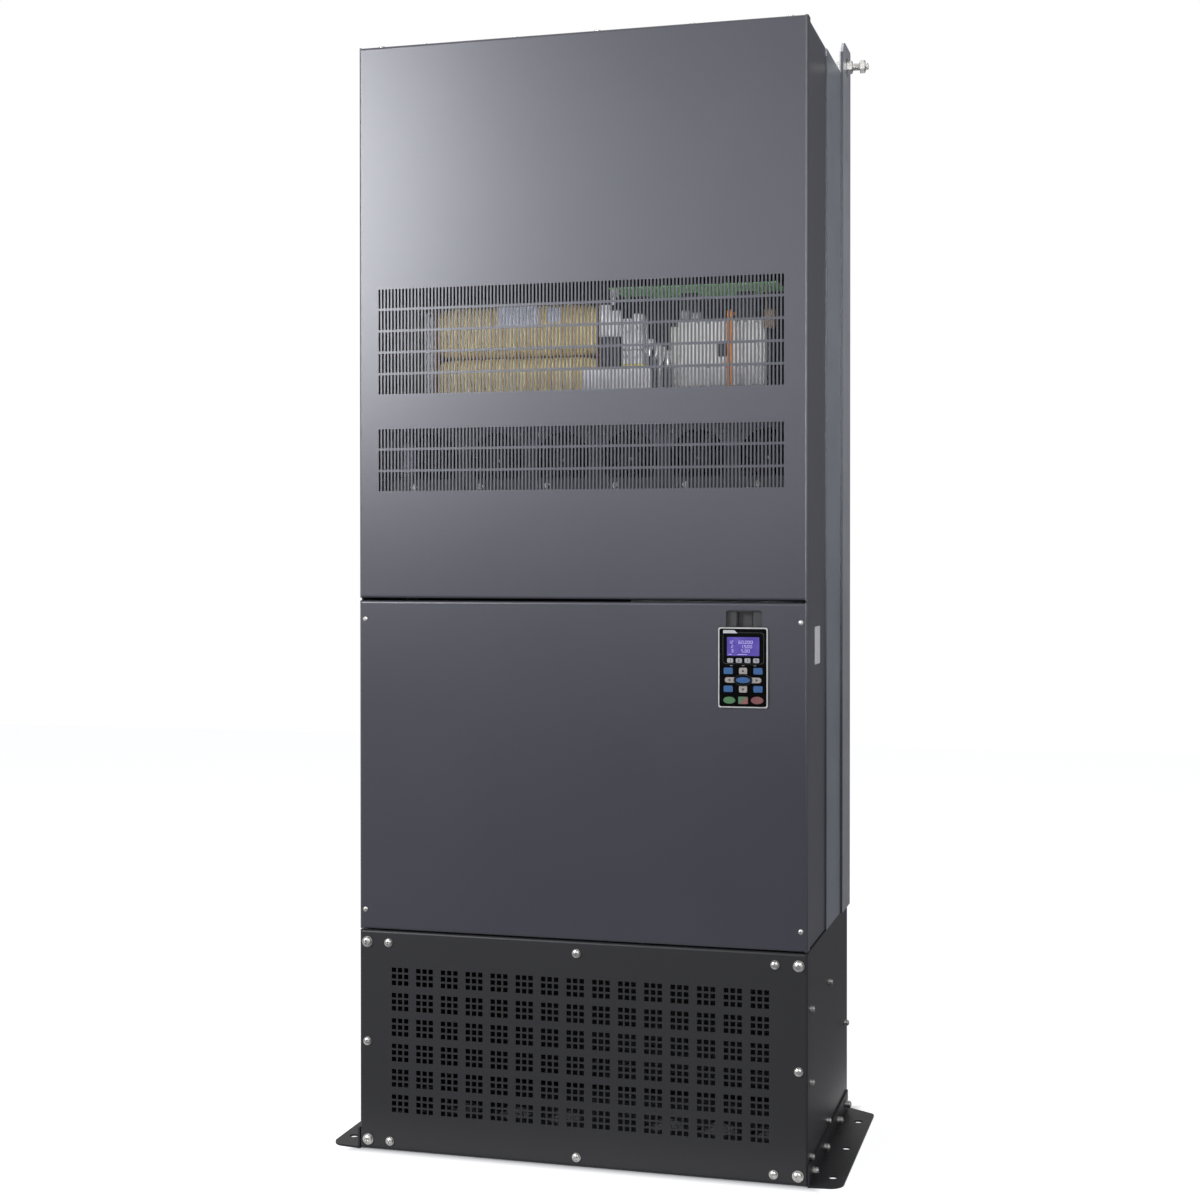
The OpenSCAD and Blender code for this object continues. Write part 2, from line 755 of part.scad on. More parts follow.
function fan_x(i) = (i - (fan_count - 1) / 2) * fan_pitch;

// Turns a fan's own axis to the front and puts it behind the fan tray's plate.
module at_fan(i) {
  translate([fan_x(i), fan_y + 1.5 + fan_t, fan_z]) rotate([90, 0, 0]) children();
}

fan_corner = 0.4484 * fan_side;

module fan_tray() {
  color("gainsboro") from_front() {
    sheet_xz(fan_y, 1.5) difference() {
      translate([-inner + sheet, fan_z - 58]) square([2 * inner - 4, 110]);
      for (i = [0 : fan_count - 1]) translate([fan_x(i), fan_z]) {
        circle(fan_bore_r + 0.5);
        for (x = [-1, 1], z = [-1, 1]) translate([x * fan_corner, z * fan_corner]) circle(d = 4.4);
      }
    }
    block([-inner + sheet, 26, fan_z - 58], [inner - sheet, partition_y - sheet, fan_z - 56.5]);
    block([-inner + sheet, fan_y, fan_z + 50.5], [inner - sheet, partition_y - sheet, fan_z + 52]);
    sheet_xz(26, 1.5) difference() {
      translate([-inner + sheet, fan_z - 58]) square([2 * inner - 4, 26]);
      for (i = [0 : fan_count - 1]) translate([fan_x(i), fan_z - 44]) circle(d = 5.4);
    }
  }
}

module fan_screws() {
  color("silver") from_front() for (i = [0 : fan_count - 1]) {
    translate([fan_x(i), 26, fan_z - 44]) rotate([90, 0, 0]) {
      cylinder(d = 10, h = 1);
      translate([0, 0, 1 - EPS]) cylinder(d1 = 8.6, d2 = 6.4, h = 2.4);
      translate([0, 0, -10]) cylinder(d = 5, h = 10 + EPS);
    }
    for (x = [-1, 1], z = [-1, 1])
      translate([fan_x(i) + x * fan_corner, fan_y, fan_z + z * fan_corner]) rotate([90, 0, 0]) {
        cylinder(d1 = 7.4, d2 = 5.4, h = 2);
        translate([0, 0, -28]) cylinder(d = 4, h = 28 + EPS);
      }
  }
}

// One fan housing with its axis along Z and its struts at the outlet, z = 0.
module fan_housing() {
  hub_r = 19;
  difference() {
    union() {
      linear_extrude(fan_t) difference() {
        rounded(fan_side, fan_side, 4);
        circle(fan_bore_r);
        for (x = [-1, 1], y = [-1, 1]) translate([x * fan_corner, y * fan_corner]) circle(d = 4.3);
      }
      cylinder(r = hub_r, h = 3);
      for (a = [45 : 90 : 315]) rotate(a) block([hub_r - 1, -2, 0], [fan_bore_r + 0.5, 2, 3]);
      cylinder(d = 10, h = 8);
    }
    translate([0, 0, 2]) cylinder(d = 4 + 2 * bearing_gap, h = 10);
  }
}

module fan_housings() {
  color([0.13, 0.13, 0.14]) from_front() for (i = [0 : fan_count - 1]) at_fan(i) fan_housing();
}

// One cambered blade, a strip of a thin tube along X.
module fan_blade() {
  r = 27;
  translate([0, 0, 1.7 - r]) difference() {
    rotate([0, 90, 0]) cylinder(r = r, h = 28);
    translate([-1, 0, 0]) rotate([0, 90, 0]) cylinder(r = r - 1.4, h = 30);
    translate([-1, 13, -2 * r]) cube([30, 2 * r, 4 * r]);
    translate([-1, -13 - 2 * r, -2 * r]) cube([30, 2 * r, 4 * r]);
    translate([-1, -2 * r, -2 * r]) cube([30, 4 * r, 2 * r]);
  }
}

// A rotor turns on its shaft; its cup runs over the bearing boss of the housing.
module fan_rotor(i) {
  color([0.16, 0.16, 0.17]) from_front() at_fan(i) {
    translate([0, 0, 2.2]) cylinder(d = 4, h = 19);
    difference() {
      translate([0, 0, 3.6]) cylinder(r = 18.5, h = 18.4);
      translate([0, 0, 3]) cylinder(r = 16.5, h = 16.5);
    }
    intersection() {
      for (a = [0 : fan_blades - 1])
        rotate(a * 360 / fan_blades) translate([18, 0, 13.2]) rotate([38, 0, 0]) fan_blade();
      difference() {
        translate([0, 0, 4.6]) cylinder(r = fan_bore_r - 1.5, h = 17.4);
        translate([0, 0, 3]) cylinder(r = 18, h = 30);
      }
    }
  }
}

module fan_rotor_1() { fan_rotor(0); }
module fan_rotor_2() { fan_rotor(1); }
module fan_rotor_3() { fan_rotor(2); }
module fan_rotor_4() { fan_rotor(3); }
module fan_rotor_5() { fan_rotor(4); }
module fan_rotor_6() { fan_rotor(5); }

// ---------- keypad ----------

pad_mid = [pad_x, pad_z + pad_h / 2];
notch_mid = [pad_x + 0.85, pad_top + 11];
pad_back = 15;
plug_at = [pad_x, pad_z + 60];

// The plastic well behind the lower cover that the keypad plugs into.
module keypad_holder() {
  color([0.15, 0.15, 0.16]) from_front() {
    difference() {
      sheet_xz(sheet, 20) {
        translate(pad_mid) rounded(pad_w + 8, pad_h + 8, 4);
        translate(notch_mid) rounded(60, 34, 5);
      }
      sheet_xz(sheet - 1, 17) translate(pad_mid) rounded(pad_w + 1, pad_h + 1, 3);
      sheet_xz(sheet - 1, 6) translate(notch_mid) rounded(54.6, 29, 4.4);
      // The deeper finger pocket in the middle of the notch, with flared sides.
      translate([notch_mid[0], 0, pad_top - 2]) linear_extrude(24.5)
        polygon([[-13.2, 6.5], [-10.7, 9], [-10.7, 18], [10.7, 18], [10.7, 9], [13.2, 6.5]]);
      // Socket for the keypad's plug.
      sheet_xz(12, 8) translate(plug_at) rounded(16.4, 8.4, 1);
    }
  }
}

module keypad_case() {
  color("whitesmoke") from_front() difference() {
    union() {
      sheet_xz(-pad_out, pad_out + pad_back) translate(pad_mid) rounded(pad_w, pad_h, 3);
      sheet_xz(pad_back - EPS, 4.5) translate(plug_at) rounded(16, 8, 1);
    }
    // Rebate for the face and the space for the keys behind it.
    sheet_xz(-pad_out - 1, 1 + face_rebate) translate(pad_mid) rounded(pad_w - 4.6, pad_h - 4.6, 1.6);
    sheet_xz(-pad_out, 4.2) translate(pad_mid) rounded(pad_w - 8, pad_h - 8, 1);
  }
}

face_rebate = 1.4;
face_y = -pad_out + 0.2;
face_t = face_rebate - 0.2;

module pill(w, h) {
  translate([-w / 2 + h / 2, -h / 2]) square([w - h, h]);
  for (s = [-1, 1]) translate([s * (w - h) / 2, 0]) circle(d = h);
}

display_at = [0.25, 30.95];
display_w = 48;
display_h = 27.4;

// The keys on the face, from its middle: [x, z, shape, width, height].
enter_at = [0.25, -18.15];
KEYS = [
  [-18.95, 10.45, "box", 8.8, 6.4], [-6, 10.45, "box", 8.8, 6.4],
  [6.85, 10.45, "box", 8.8, 6.4], [19.8, 10.45, "box", 8.8, 6.4],
  [-21.75, -4.8, "box", 13.4, 9.2], [22.45, -4.8, "box", 13.4, 9.2],
  [-21.75, -31.15, "box", 13.4, 9.2], [22.45, -31.15, "box", 13.4, 9.2],
  [0.25, -4.95, "ringed", 12, 9.8], [0.25, -31.35, "ringed", 12, 9.8],
  [-19.65, -18.15, "side", 14.6, 7.8], [20.15, -18.15, "side", 14.6, 7.8],
  [0.25, -18.15, "oval", 21, 8.8], [-20.15, -47.75, "oval", 17.8, 10],
  [0.35, -47.65, "box", 14.2, 10.4], [21.15, -47.5, "oval", 18.2, 10.6]
];

module oval(w, h) {
  scale([w / h, 1]) circle(d = h);
}

// A key's outline about its own middle. The four arrow keys give way to the ring
// around the key in the middle.
module key_outline(k) {
  to_enter = enter_at - [k[0], k[1]];
  inner_x = to_enter[0] > 0 ? 0 : -k[3] / 2;
  if (k[2] == "oval") {
    oval(k[3], k[4]);
  } else if (k[2] == "box") {
    rounded(k[3], k[4], 1.6);
  } else {
    difference() {
      if (k[2] == "ringed") {
        rounded(k[3], k[4], 2.2);
      } else {
        pill(k[3], k[4]);
        translate([inner_x, -k[4] / 2]) square([k[3] / 2, k[4]]);
      }
      translate(to_enter) oval(28.4, 18.4);
    }
  }
}

module keypad_face() {
  color([0.08, 0.08, 0.09]) from_front() sheet_xz(face_y, face_t) difference() {
    translate(pad_mid) rounded(pad_w - 4.8, pad_h - 4.8, 1.5);
    translate(pad_mid + display_at) rounded(display_w + 0.4, display_h + 0.4, 1);
    for (k = KEYS) translate([pad_mid[0] + k[0], pad_mid[1] + k[1]])
      scale(1 + 2 * key_gap / min(k[3], k[4])) key_outline(k);
  }
}

// A clear window stands in the face; its module behind it holds it in place.
module keypad_display() {
  color([0.45, 0.45, 0.7]) from_front() {
    sheet_xz(face_y + 0.3, face_t) translate(pad_mid + display_at) rounded(display_w, display_h, 0.8);
    sheet_xz(face_y + face_t, 2.6) translate(pad_mid + display_at) rounded(56, 30.4, 1);
  }
}

// A key's cap stands in its hole, and its wider foot stays behind the face.
module key(i) {
  k = KEYS[i];
  color("royalblue") from_front() translate([pad_mid[0] + k[0], 0, pad_mid[1] + k[1]]) {
    sheet_xz(face_y - key_travel, face_t + key_travel + 0.06) key_outline(k);
    sheet_xz(face_y + face_t + 0.05, 0.9) scale([1.02, 1.12]) key_outline(k);
  }
}

module key_f1() { key(0); }
module key_f2() { key(1); }
module key_f3() { key(2); }
module key_f4() { key(3); }
module key_escape() { key(4); }
module key_menu() { key(5); }
module key_local() { key(6); }
module key_jog() { key(7); }
module key_up() { key(8); }
module key_down() { key(9); }
module key_left() { key(10); }
module key_right() { key(11); }
module key_enter() { key(12); }
module key_run() { key(13); }
module key_direction() { key(14); }
module key_stop() { key(15); }

// ---------- assembly ----------

upper_cover();
lower_cover();
cover_screws();
top_cover();
case_side_left();
case_side_right();
rear_chassis();
rail_left();
rail_right();
lifting_studs();
partition_plate();
box_front_panel();
box_side_left();
box_side_right();
box_frame();
gland_plate();
box_fasteners();
foot_left();
foot_right();
heatsink();
power_modules();
dc_capacitors();
busbars();
choke_coils();
choke_core();
rectifier_unit();
driver_board();
control_board();
control_tray();
terminal_block();
supply_lead();
fan_tray();
fan_screws();
fan_housings();
fan_rotor_1();
fan_rotor_2();
fan_rotor_3();
fan_rotor_4();
fan_rotor_5();
fan_rotor_6();
keypad_holder();
keypad_case();
keypad_face();
keypad_display();
key_f1();
key_f2();
key_f3();
key_f4();
key_escape();
key_menu();
key_local();
key_jog();
key_up();
key_down();
key_left();
key_right();
key_enter();
key_run();
key_direction();
key_stop();
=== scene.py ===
import math

import bmesh
import bpy
from mathutils import Matrix, Vector


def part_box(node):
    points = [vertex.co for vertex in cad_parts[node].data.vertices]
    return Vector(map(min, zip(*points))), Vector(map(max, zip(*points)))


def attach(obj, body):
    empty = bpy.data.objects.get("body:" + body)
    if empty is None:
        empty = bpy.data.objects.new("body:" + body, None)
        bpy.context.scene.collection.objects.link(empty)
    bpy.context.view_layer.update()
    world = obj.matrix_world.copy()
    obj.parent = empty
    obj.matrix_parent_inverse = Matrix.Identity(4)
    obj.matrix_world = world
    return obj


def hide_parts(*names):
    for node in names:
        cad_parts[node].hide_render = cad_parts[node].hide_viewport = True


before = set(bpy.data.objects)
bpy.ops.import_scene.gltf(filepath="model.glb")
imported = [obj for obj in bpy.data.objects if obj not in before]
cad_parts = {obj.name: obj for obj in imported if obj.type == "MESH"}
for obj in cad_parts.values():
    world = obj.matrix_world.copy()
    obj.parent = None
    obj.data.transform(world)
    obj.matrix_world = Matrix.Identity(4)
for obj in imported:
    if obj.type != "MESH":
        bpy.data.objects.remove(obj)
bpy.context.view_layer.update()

# ---------- Charcoal covers ----------
# The two front covers and the case sides are folded from 2 mm steel sheet and
# powder coated in a semi-gloss charcoal. The coat flows into a faint orange
# peel, so it mirrors a window only as a soft sheen.


def colour(code):
    """A six-digit sRGB code as a linear colour."""
    parts = [int(code[i:i + 2], 16) / 255 for i in (0, 2, 4)]
    return [p / 12.92 if p <= 0.04045 else ((p + 0.055) / 1.055) ** 2.4 for p in parts] + [1.0]


def add_node(owner, kind, values=None, links=None, **settings):
    """Adds a node to a material or world, with its settings, values and incoming links."""
    node = owner.node_tree.nodes.new(kind)
    for name, value in settings.items():
        setattr(node, name, value)
    for name, value in (values or {}).items():
        node.inputs[name].default_value = value
    for name, (source, output) in (links or {}).items():
        owner.node_tree.links.new(source.outputs[output], node.inputs[name])
    return node


def start_material(name):
    """An empty node material, and the node that gives it object coordinates."""
    material = bpy.data.materials.new(name)
    material.use_nodes = True
    material.node_tree.nodes.clear()
    return material, add_node(material, "ShaderNodeTexCoord")


def close_material(material, shader):
    """Joins the shader to the material's output."""
    add_node(material, "ShaderNodeOutputMaterial", links={"Surface": (shader, "BSDF")})
    return material


def set_ramp(ramp, stops):
    """Gives a colour ramp its stops: (position, sRGB code)."""
    elements = ramp.color_ramp.elements
    while len(elements) > len(stops):
        elements.remove(elements[-1])
    while len(elements) < len(stops):
        elements.new(1.0)
    for element, (place, code) in zip(elements, stops):
        element.position = place
        element.color = colour(code)


def powder_coat(name, dark, light, rough_low, rough_high, specular=0.5):
    """Sprayed and baked powder: its tone drifts by a few percent, over orange peel."""
    material, place = start_material(name)
    cloud = add_node(material, "ShaderNodeTexNoise", {"Scale": 3.2, "Detail": 3.0},
                     {"Vector": (place, "Object")})
    tone = add_node(material, "ShaderNodeValToRGB", links={"Fac": (cloud, "Fac")})
    set_ramp(tone, [(0.3, dark), (0.7, light)])
    # Real orange peel is 1 to 2 mm across; 5 mm shows at this distance.
    peel = add_node(material, "ShaderNodeTexNoise", {"Scale": 1 / 0.005, "Detail": 2.0},
                    {"Vector": (place, "Object")})
    gloss = add_node(material, "ShaderNodeMapRange",
                     {"To Min": rough_low, "To Max": rough_high}, {"Value": (peel, "Fac")})
    bump = add_node(material, "ShaderNodeBump", {"Strength": 0.25, "Distance": 0.00008},
                    {"Height": (peel, "Fac")})
    shader = add_node(material, "ShaderNodeBsdfPrincipled", {"Specular IOR Level": specular},
                      {"Base Color": (tone, "Color"), "Roughness": (gloss, "Result"),
                       "Normal": (bump, "Normal")})
    return close_material(material, shader)


def paint(material, *names):
    """Gives CAD nodes their finish."""
    for name in names:
        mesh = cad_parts[name].data
        mesh.materials.clear()
        mesh.materials.append(material)


charcoal = powder_coat("semi_gloss_charcoal_powder_coat", "34353c", "383940", 0.29, 0.34, 0.6)
paint(charcoal, "upper_cover", "lower_cover", "case_side_left", "case_side_right")

# ---------- Conduit box ----------
# The box that the drive stands on has a perforated front, plain sides and a
# frame of the same sheet, coated in a flatter and darker grey than the covers.
# The feet are bent from 3 mm strip, with a duller coat painted darker than the box's: painted shade that
# dims their upward faces.

satin_grey = powder_coat("satin_dark_grey_powder_coat", "262628", "29292b", 0.40, 0.48, 0.35)
paint(satin_grey, "box_front_panel", "box_side_left", "box_side_right", "box_frame")
# The feet's grey is darker than the box's grey: painted shade.
feet_grey_painted_shade = powder_coat("dark_grey_feet_coat_painted_shade", "1d1d1f", "202022", 0.5, 0.58, 0.25)
paint(feet_grey_painted_shade, "foot_left", "foot_right")

# ---------- Galvanised sheet ----------
# The chassis, top plate and rails are hot-dip galvanised: the zinc froze in flat
# crystals 10 to 20 mm across, each a slightly different dull grey. The inner
# wall's zinc is painted near black: painted shade. Sheared front edges have no
# zinc and have gone dark.

# Sockets of a Mix node that blends colours.
MIX_A, MIX_B, MIX_OUT = 6, 7, 2
# Places are in metres, so nothing lies ahead of this one.
NO_EDGE = -10.0


def galvanised_sheet(name, dark, light, grain, rough, sheared=NO_EDGE):
    """Zinc in crystals of one size, and bare steel ahead of a sheared edge."""
    material, place = start_material(name)
    crystals = add_node(material, "ShaderNodeTexVoronoi", {"Scale": 1 / grain},
                        {"Vector": (place, "Object")})
    cloud = add_node(material, "ShaderNodeTexNoise", {"Scale": 9.0, "Detail": 5.0},
                     {"Vector": (place, "Object")})
    mixed = add_node(material, "ShaderNodeMix", {"Factor": 0.75},
                     {"A": (crystals, "Color"), "B": (cloud, "Fac")})
    tone = add_node(material, "ShaderNodeValToRGB", links={"Fac": (mixed, "Result")})
    set_ramp(tone, [(0.3, dark), (0.7, light)])
    gloss = add_node(material, "ShaderNodeMapRange", {"To Min": rough - 0.05, "To Max": rough + 0.08},
                     {"Value": (mixed, "Result")})
    split = add_node(material, "ShaderNodeSeparateXYZ", links={0: (place, "Object")})
    edge = add_node(material, "ShaderNodeMath", {1: sheared}, {0: (split, "Y")}, operation="LESS_THAN")
    bare = add_node(material, "ShaderNodeMix", {MIX_B: colour("4b4e52")},
                    {"Factor": (edge, "Value"), MIX_A: (tone, "Color")}, data_type="RGBA")
    shader = add_node(material, "ShaderNodeBsdfPrincipled", {"Metallic": 0.55},
                      {"Roughness": (gloss, "Result"), "Base Color": (bare, MIX_OUT)})
    return close_material(material, shader)


# Each sheared edge is bare this deep, in metres.
cut_skin = 0.0007
chassis_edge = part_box("rear_chassis")[0][1] + cut_skin
chassis_zinc = galvanised_sheet("hot_dip_galvanised_sheet", "8b9197", "989ea4", 0.014, 0.42, chassis_edge)
paint(chassis_zinc, "rear_chassis")
paint(galvanised_sheet("hot_dip_galvanised_top_plate", "8b9197", "989ea4", 0.014, 0.42), "top_cover")
# The inner wall's near-black zinc is painted shade.
paint(galvanised_sheet("near_black_zinc_painted_shade", "222427", "2c2e31", 0.014, 0.45), "partition_plate")
rail_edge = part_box("rail_right")[0][1] + cut_skin
rail_zinc = galvanised_sheet("zinc_plated_rail_steel", "a6a9af", "b2b5ba", 0.02, 0.38, rail_edge)
paint(rail_zinc, "rail_left", "rail_right")

# ---------- Fasteners ----------
# Screws, bolts and washers are steel with a bright zinc plating. Their heads
# are pressed and turned, so the gloss varies finely.


def plain_metal(name, dark, light, rough, metallic=1.0, grain=0.004):
    """Metal whose tone and gloss vary with the grain of how it was made."""
    material, place = start_material(name)
    cloud = add_node(material, "ShaderNodeTexNoise", {"Scale": 1 / grain, "Detail": 3.0},
                     {"Vector": (place, "Object")})
    tone = add_node(material, "ShaderNodeValToRGB", links={"Fac": (cloud, "Fac")})
    set_ramp(tone, [(0.35, dark), (0.65, light)])
    gloss = add_node(material, "ShaderNodeMapRange", {"To Min": rough - 0.06, "To Max": rough + 0.06},
                     {"Value": (cloud, "Fac")})
    shader = add_node(material, "ShaderNodeBsdfPrincipled", {"Metallic": metallic},
                      {"Base Color": (tone, "Color"), "Roughness": (gloss, "Result")})
    return close_material(material, shader)


bright_zinc = plain_metal("bright_zinc_plating", "9b9a97", "c6c5c1", 0.3, 0.9)
paint(bright_zinc, "cover_screws", "box_fasteners", "fan_screws")

# ---------- Lifting studs ----------
# Each lug holds an M12 stud with a rolled thread of 1.75 mm pitch, a nut
# behind the lug, a flanged nut in its hole and an outer nut.

scene = bpy.context.scene
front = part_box("lower_cover")[0][1]


def at(x, depth, z):
    """A point given in millimetres: across, behind the front covers, and up."""
    return Vector((x / 1000, front + depth / 1000, z / 1000))


def turned(mesh, foot, axis, outline, steps=24):
    """Spins an outline of (radius, height) in millimetres about an axis."""
    out = axis.orthogonal().normalized()
    line = [mesh.verts.new(foot + axis * height / 1000 + out * radius / 1000)
            for radius, height in outline]
    edges = [mesh.edges.new(pair) for pair in zip(line, line[1:])]
    bmesh.ops.spin(mesh, geom=line + edges, cent=foot, axis=axis, angle=2 * math.pi,
                   steps=steps, use_merge=True, use_duplicate=False)


def thread(mesh, foot, axis, radius, pitch, turns, steps=14):
    """A rolled thread: one pitch of its outline, spun and moved along."""
    out = axis.orthogonal().normalized()
    # A metric thread is 0.61 of its pitch deep.
    root = radius - 0.61 * pitch
    line = [mesh.verts.new(foot + axis * height / 1000 + out * r / 1000)
            for r, height in ((root, 0), (radius, 0.5 * pitch), (root, pitch))]
    edges = [mesh.edges.new(pair) for pair in zip(line, line[1:])]
    bmesh.ops.spin(mesh, geom=line + edges, cent=foot, axis=axis, angle=2 * math.pi * turns,
                   steps=steps * turns, dvec=axis * pitch / 1000 / steps, use_duplicate=False)


def hex_nut(mesh, foot, axis, flats, height):
    """A nut with its upper and lower rims chamfered."""
    radius = flats / math.sqrt(3) / 1000
    place = (Matrix.Translation(foot + axis * height / 2000)
             @ axis.to_track_quat("Z", "Y").to_matrix().to_4x4())
    made = bmesh.ops.create_cone(mesh, cap_ends=True, segments=6, radius1=radius, radius2=radius,
                                 depth=height / 1000, matrix=place)
    rims = dict.fromkeys(edge for vert in made["verts"] for edge in vert.link_edges
                         if any(len(face.verts) == 6 for face in edge.link_faces))
    bmesh.ops.bevel(mesh, geom=list(rims), offset=0.0009, offset_type="OFFSET", segments=1,
                    profile=0.5, affect="EDGES", material=-1)


def add_object(name, data):
    """Puts data into the scene at the world's origin."""
    item = bpy.data.objects.new(name, data)
    scene.collection.objects.link(item)
    return item


def make_piece(name, mesh, material, body="root", stands_for=()):
    """Closes a bmesh into one object that rides on a body."""
    bmesh.ops.remove_doubles(mesh, verts=mesh.verts, dist=1e-6)
    bmesh.ops.recalc_face_normals(mesh, faces=mesh.faces)
    for face in mesh.faces:
        face.smooth = True
    sharp = 0.6  # radians
    for edge in mesh.edges:
        edge.smooth = edge.calc_face_angle(0.0) < sharp
    data = bpy.data.meshes.new(name)
    mesh.to_mesh(data)
    mesh.free()
    data.materials.append(material)
    item = add_object(name, data)
    if stands_for:
        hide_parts(*stands_for)
    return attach(item, body)


stud_depth, stud_height = 367, 1719
nut_flats = 19
stud_mesh = bmesh.new()
for side in (-1, 1):
    out = Vector((side, 0, 0))
    turned(stud_mesh, at(side * 328, stud_depth, stud_height), out,
           [(0, 0), (4.6, 0), (5.9, 1.2), (5.9, 2), (5, 2.2), (5, 57), (5.9, 57.5), (5.9, 59.2),
            (4.6, 60.5), (0, 60.5)], 20)
    thread(stud_mesh, at(side * 330, stud_depth, stud_height), out, 6, 1.75, 32)
    turned(stud_mesh, at(side * 350, stud_depth, stud_height), out,
           [(5, 0), (12.6, 0), (13, 0.5), (12.8, 1.6), (10, 2.6), (5, 2.6)], 32)
    for reach, height in ((336, 10), (352, 10.5), (375, 8.4)):
        hex_nut(stud_mesh, at(side * reach, stud_depth, stud_height), out, nut_flats, height)
stud_zinc = plain_metal("bright_zinc_plated_stud", "c4c3bf", "e2e1dd", 0.26, 0.9)
make_piece("lifting_studs_threaded", stud_mesh, stud_zinc, stands_for=["lifting_studs"])

# ---------- Rating plate ----------
# A blank label of white polyester film, 0.2 mm thick, is stuck on the right
# side. Its corners are rounded so that it doesn't peel.


def block(mesh, low, high, edge=0.0, steps=2, along=None):
    """A box between two corners, its edges rounded, or only those along one axis."""
    a, b = at(*low), at(*high)
    made = bmesh.ops.create_cube(mesh, size=1.0, matrix=Matrix.Translation((a + b) / 2)
                                 @ Matrix.Diagonal((*(b - a), 1.0)))
    if edge:
        edges = dict.fromkeys(e for vert in made["verts"] for e in vert.link_edges
                              if along is None or abs((e.verts[0].co - e.verts[1].co)[along]) > 1e-6)
        bmesh.ops.bevel(mesh, geom=list(edges), offset=edge / 1000, offset_type="OFFSET",
                        segments=steps, profile=0.5, affect="EDGES", material=-1)


def moulded(name, dark, light, rough, grain=0.0025, bump_depth=0.00004, specular=0.5):
    """Moulded plastic with a fine spark-eroded grain from its tool."""
    material, place = start_material(name)
    cloud = add_node(material, "ShaderNodeTexNoise", {"Scale": 14.0, "Detail": 4.0},
                     {"Vector": (place, "Object")})
    tone = add_node(material, "ShaderNodeValToRGB", links={"Fac": (cloud, "Fac")})
    set_ramp(tone, [(0.3, dark), (0.7, light)])
    skin = add_node(material, "ShaderNodeTexNoise", {"Scale": 1 / grain, "Detail": 1.0},
                    {"Vector": (place, "Object")})
    bump = add_node(material, "ShaderNodeBump", {"Strength": 0.4, "Distance": bump_depth},
                    {"Height": (skin, "Fac")})
    gloss = add_node(material, "ShaderNodeMapRange", {"To Min": rough - 0.04, "To Max": rough + 0.05},
                     {"Value": (skin, "Fac")})
    shader = add_node(material, "ShaderNodeBsdfPrincipled", {"Specular IOR Level": specular},
                      {"Base Color": (tone, "Color"), "Roughness": (gloss, "Result"),
                       "Normal": (bump, "Normal")})
    return close_material(material, shader)


side_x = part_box("case_side_right")[1][0] * 1000
label_film = moulded("white_polyester_label_film", "f6f7f8", "fcfcfd", 0.3)
plate_mesh = bmesh.new()
block(plate_mesh, (side_x - 0.05, 76, 756), (side_x + 0.15, 124, 812.5), 2.5, 5, along=0)
make_piece("blank_rating_plate", plate_mesh, label_film)

# ---------- Aluminium and copper ----------
# The heat sink is extruded and the gland plate rolled aluminium. The busbars
# are copper, tinned to a dull grey so that the joints don't oxidise. Their
# tails wear black shrink sleeve.

paint(plain_metal("extruded_aluminium", "b9bbbd", "c8cacc", 0.36), "heatsink")
paint(plain_metal("mill_finish_aluminium", "a9acae", "bcbfc1", 0.42), "gland_plate")


def wrapped_metal(name, metal, sleeve_and_shade, edge):
    """Bare metal above a height, and a darker tone below it: a sleeve on the busbars, painted shade on the
    fan tray.
    """
    material, place = start_material(name)
    split = add_node(material, "ShaderNodeSeparateXYZ", links={0: (place, "Object")})
    above = add_node(material, "ShaderNodeMapRange", {"From Min": edge - 0.002, "From Max": edge + 0.002},
                     {"Value": (split, "Z")})
    grit = add_node(material, "ShaderNodeTexNoise", {"Scale": 300.0, "Detail": 2.0},
                    {"Vector": (place, "Object")})
    bare = add_node(material, "ShaderNodeValToRGB", links={"Fac": (grit, "Fac")})
    set_ramp(bare, [(0.3, metal[0]), (0.7, metal[1])])
    sleeve_and_shade_tone = add_node(material, "ShaderNodeValToRGB", links={"Fac": (grit, "Fac")})
    set_ramp(sleeve_and_shade_tone, [(0.3, sleeve_and_shade[0]), (0.7, sleeve_and_shade[1])])
    tone = add_node(material, "ShaderNodeMix", data_type="RGBA",
                    links={"Factor": (above, "Result"), MIX_A: (sleeve_and_shade_tone, "Color"), MIX_B: (bare, "Color")})
    shine = add_node(material, "ShaderNodeMath", {1: 0.6}, {0: (above, "Result")}, operation="MULTIPLY")
    shader = add_node(material, "ShaderNodeBsdfPrincipled", {"Roughness": 0.5},
                      {"Metallic": (shine, "Value"), "Base Color": (tone, MIX_OUT)})
    return close_material(material, shader)


sleeve_top = 1.35
paint(wrapped_metal("tinned_bar_with_shrink_sleeve", ("a3a19b", "b9b6ae"), ("222224", "2c2c2e"), sleeve_top),
      "busbars")

# ---------- Power section ----------
# The power modules and the terminal block are moulded in black glass-filled
# nylon. The capacitors are cans in a dark blue shrink-wrapped sleeve.

black_nylon = moulded("glass_filled_black_nylon", "1c1c1e", "232326", 0.5)
paint(black_nylon, "power_modules", "terminal_block")
paint(moulded("capacitor_sleeve", "20232a", "282b33", 0.35), "dc_capacitors")

# ---------- Choke ----------
# Two coils of flat copper are wound over the core's limbs and wrapped in
# half-lapped bands of yellowish glass tape, with pressboard collars at their
# ends. The core is a stack of lacquered laminations behind a zinc bracket.

# A wave pattern of scale 1 repeats after this many metres.
WAVE_LENGTH = 0.3142


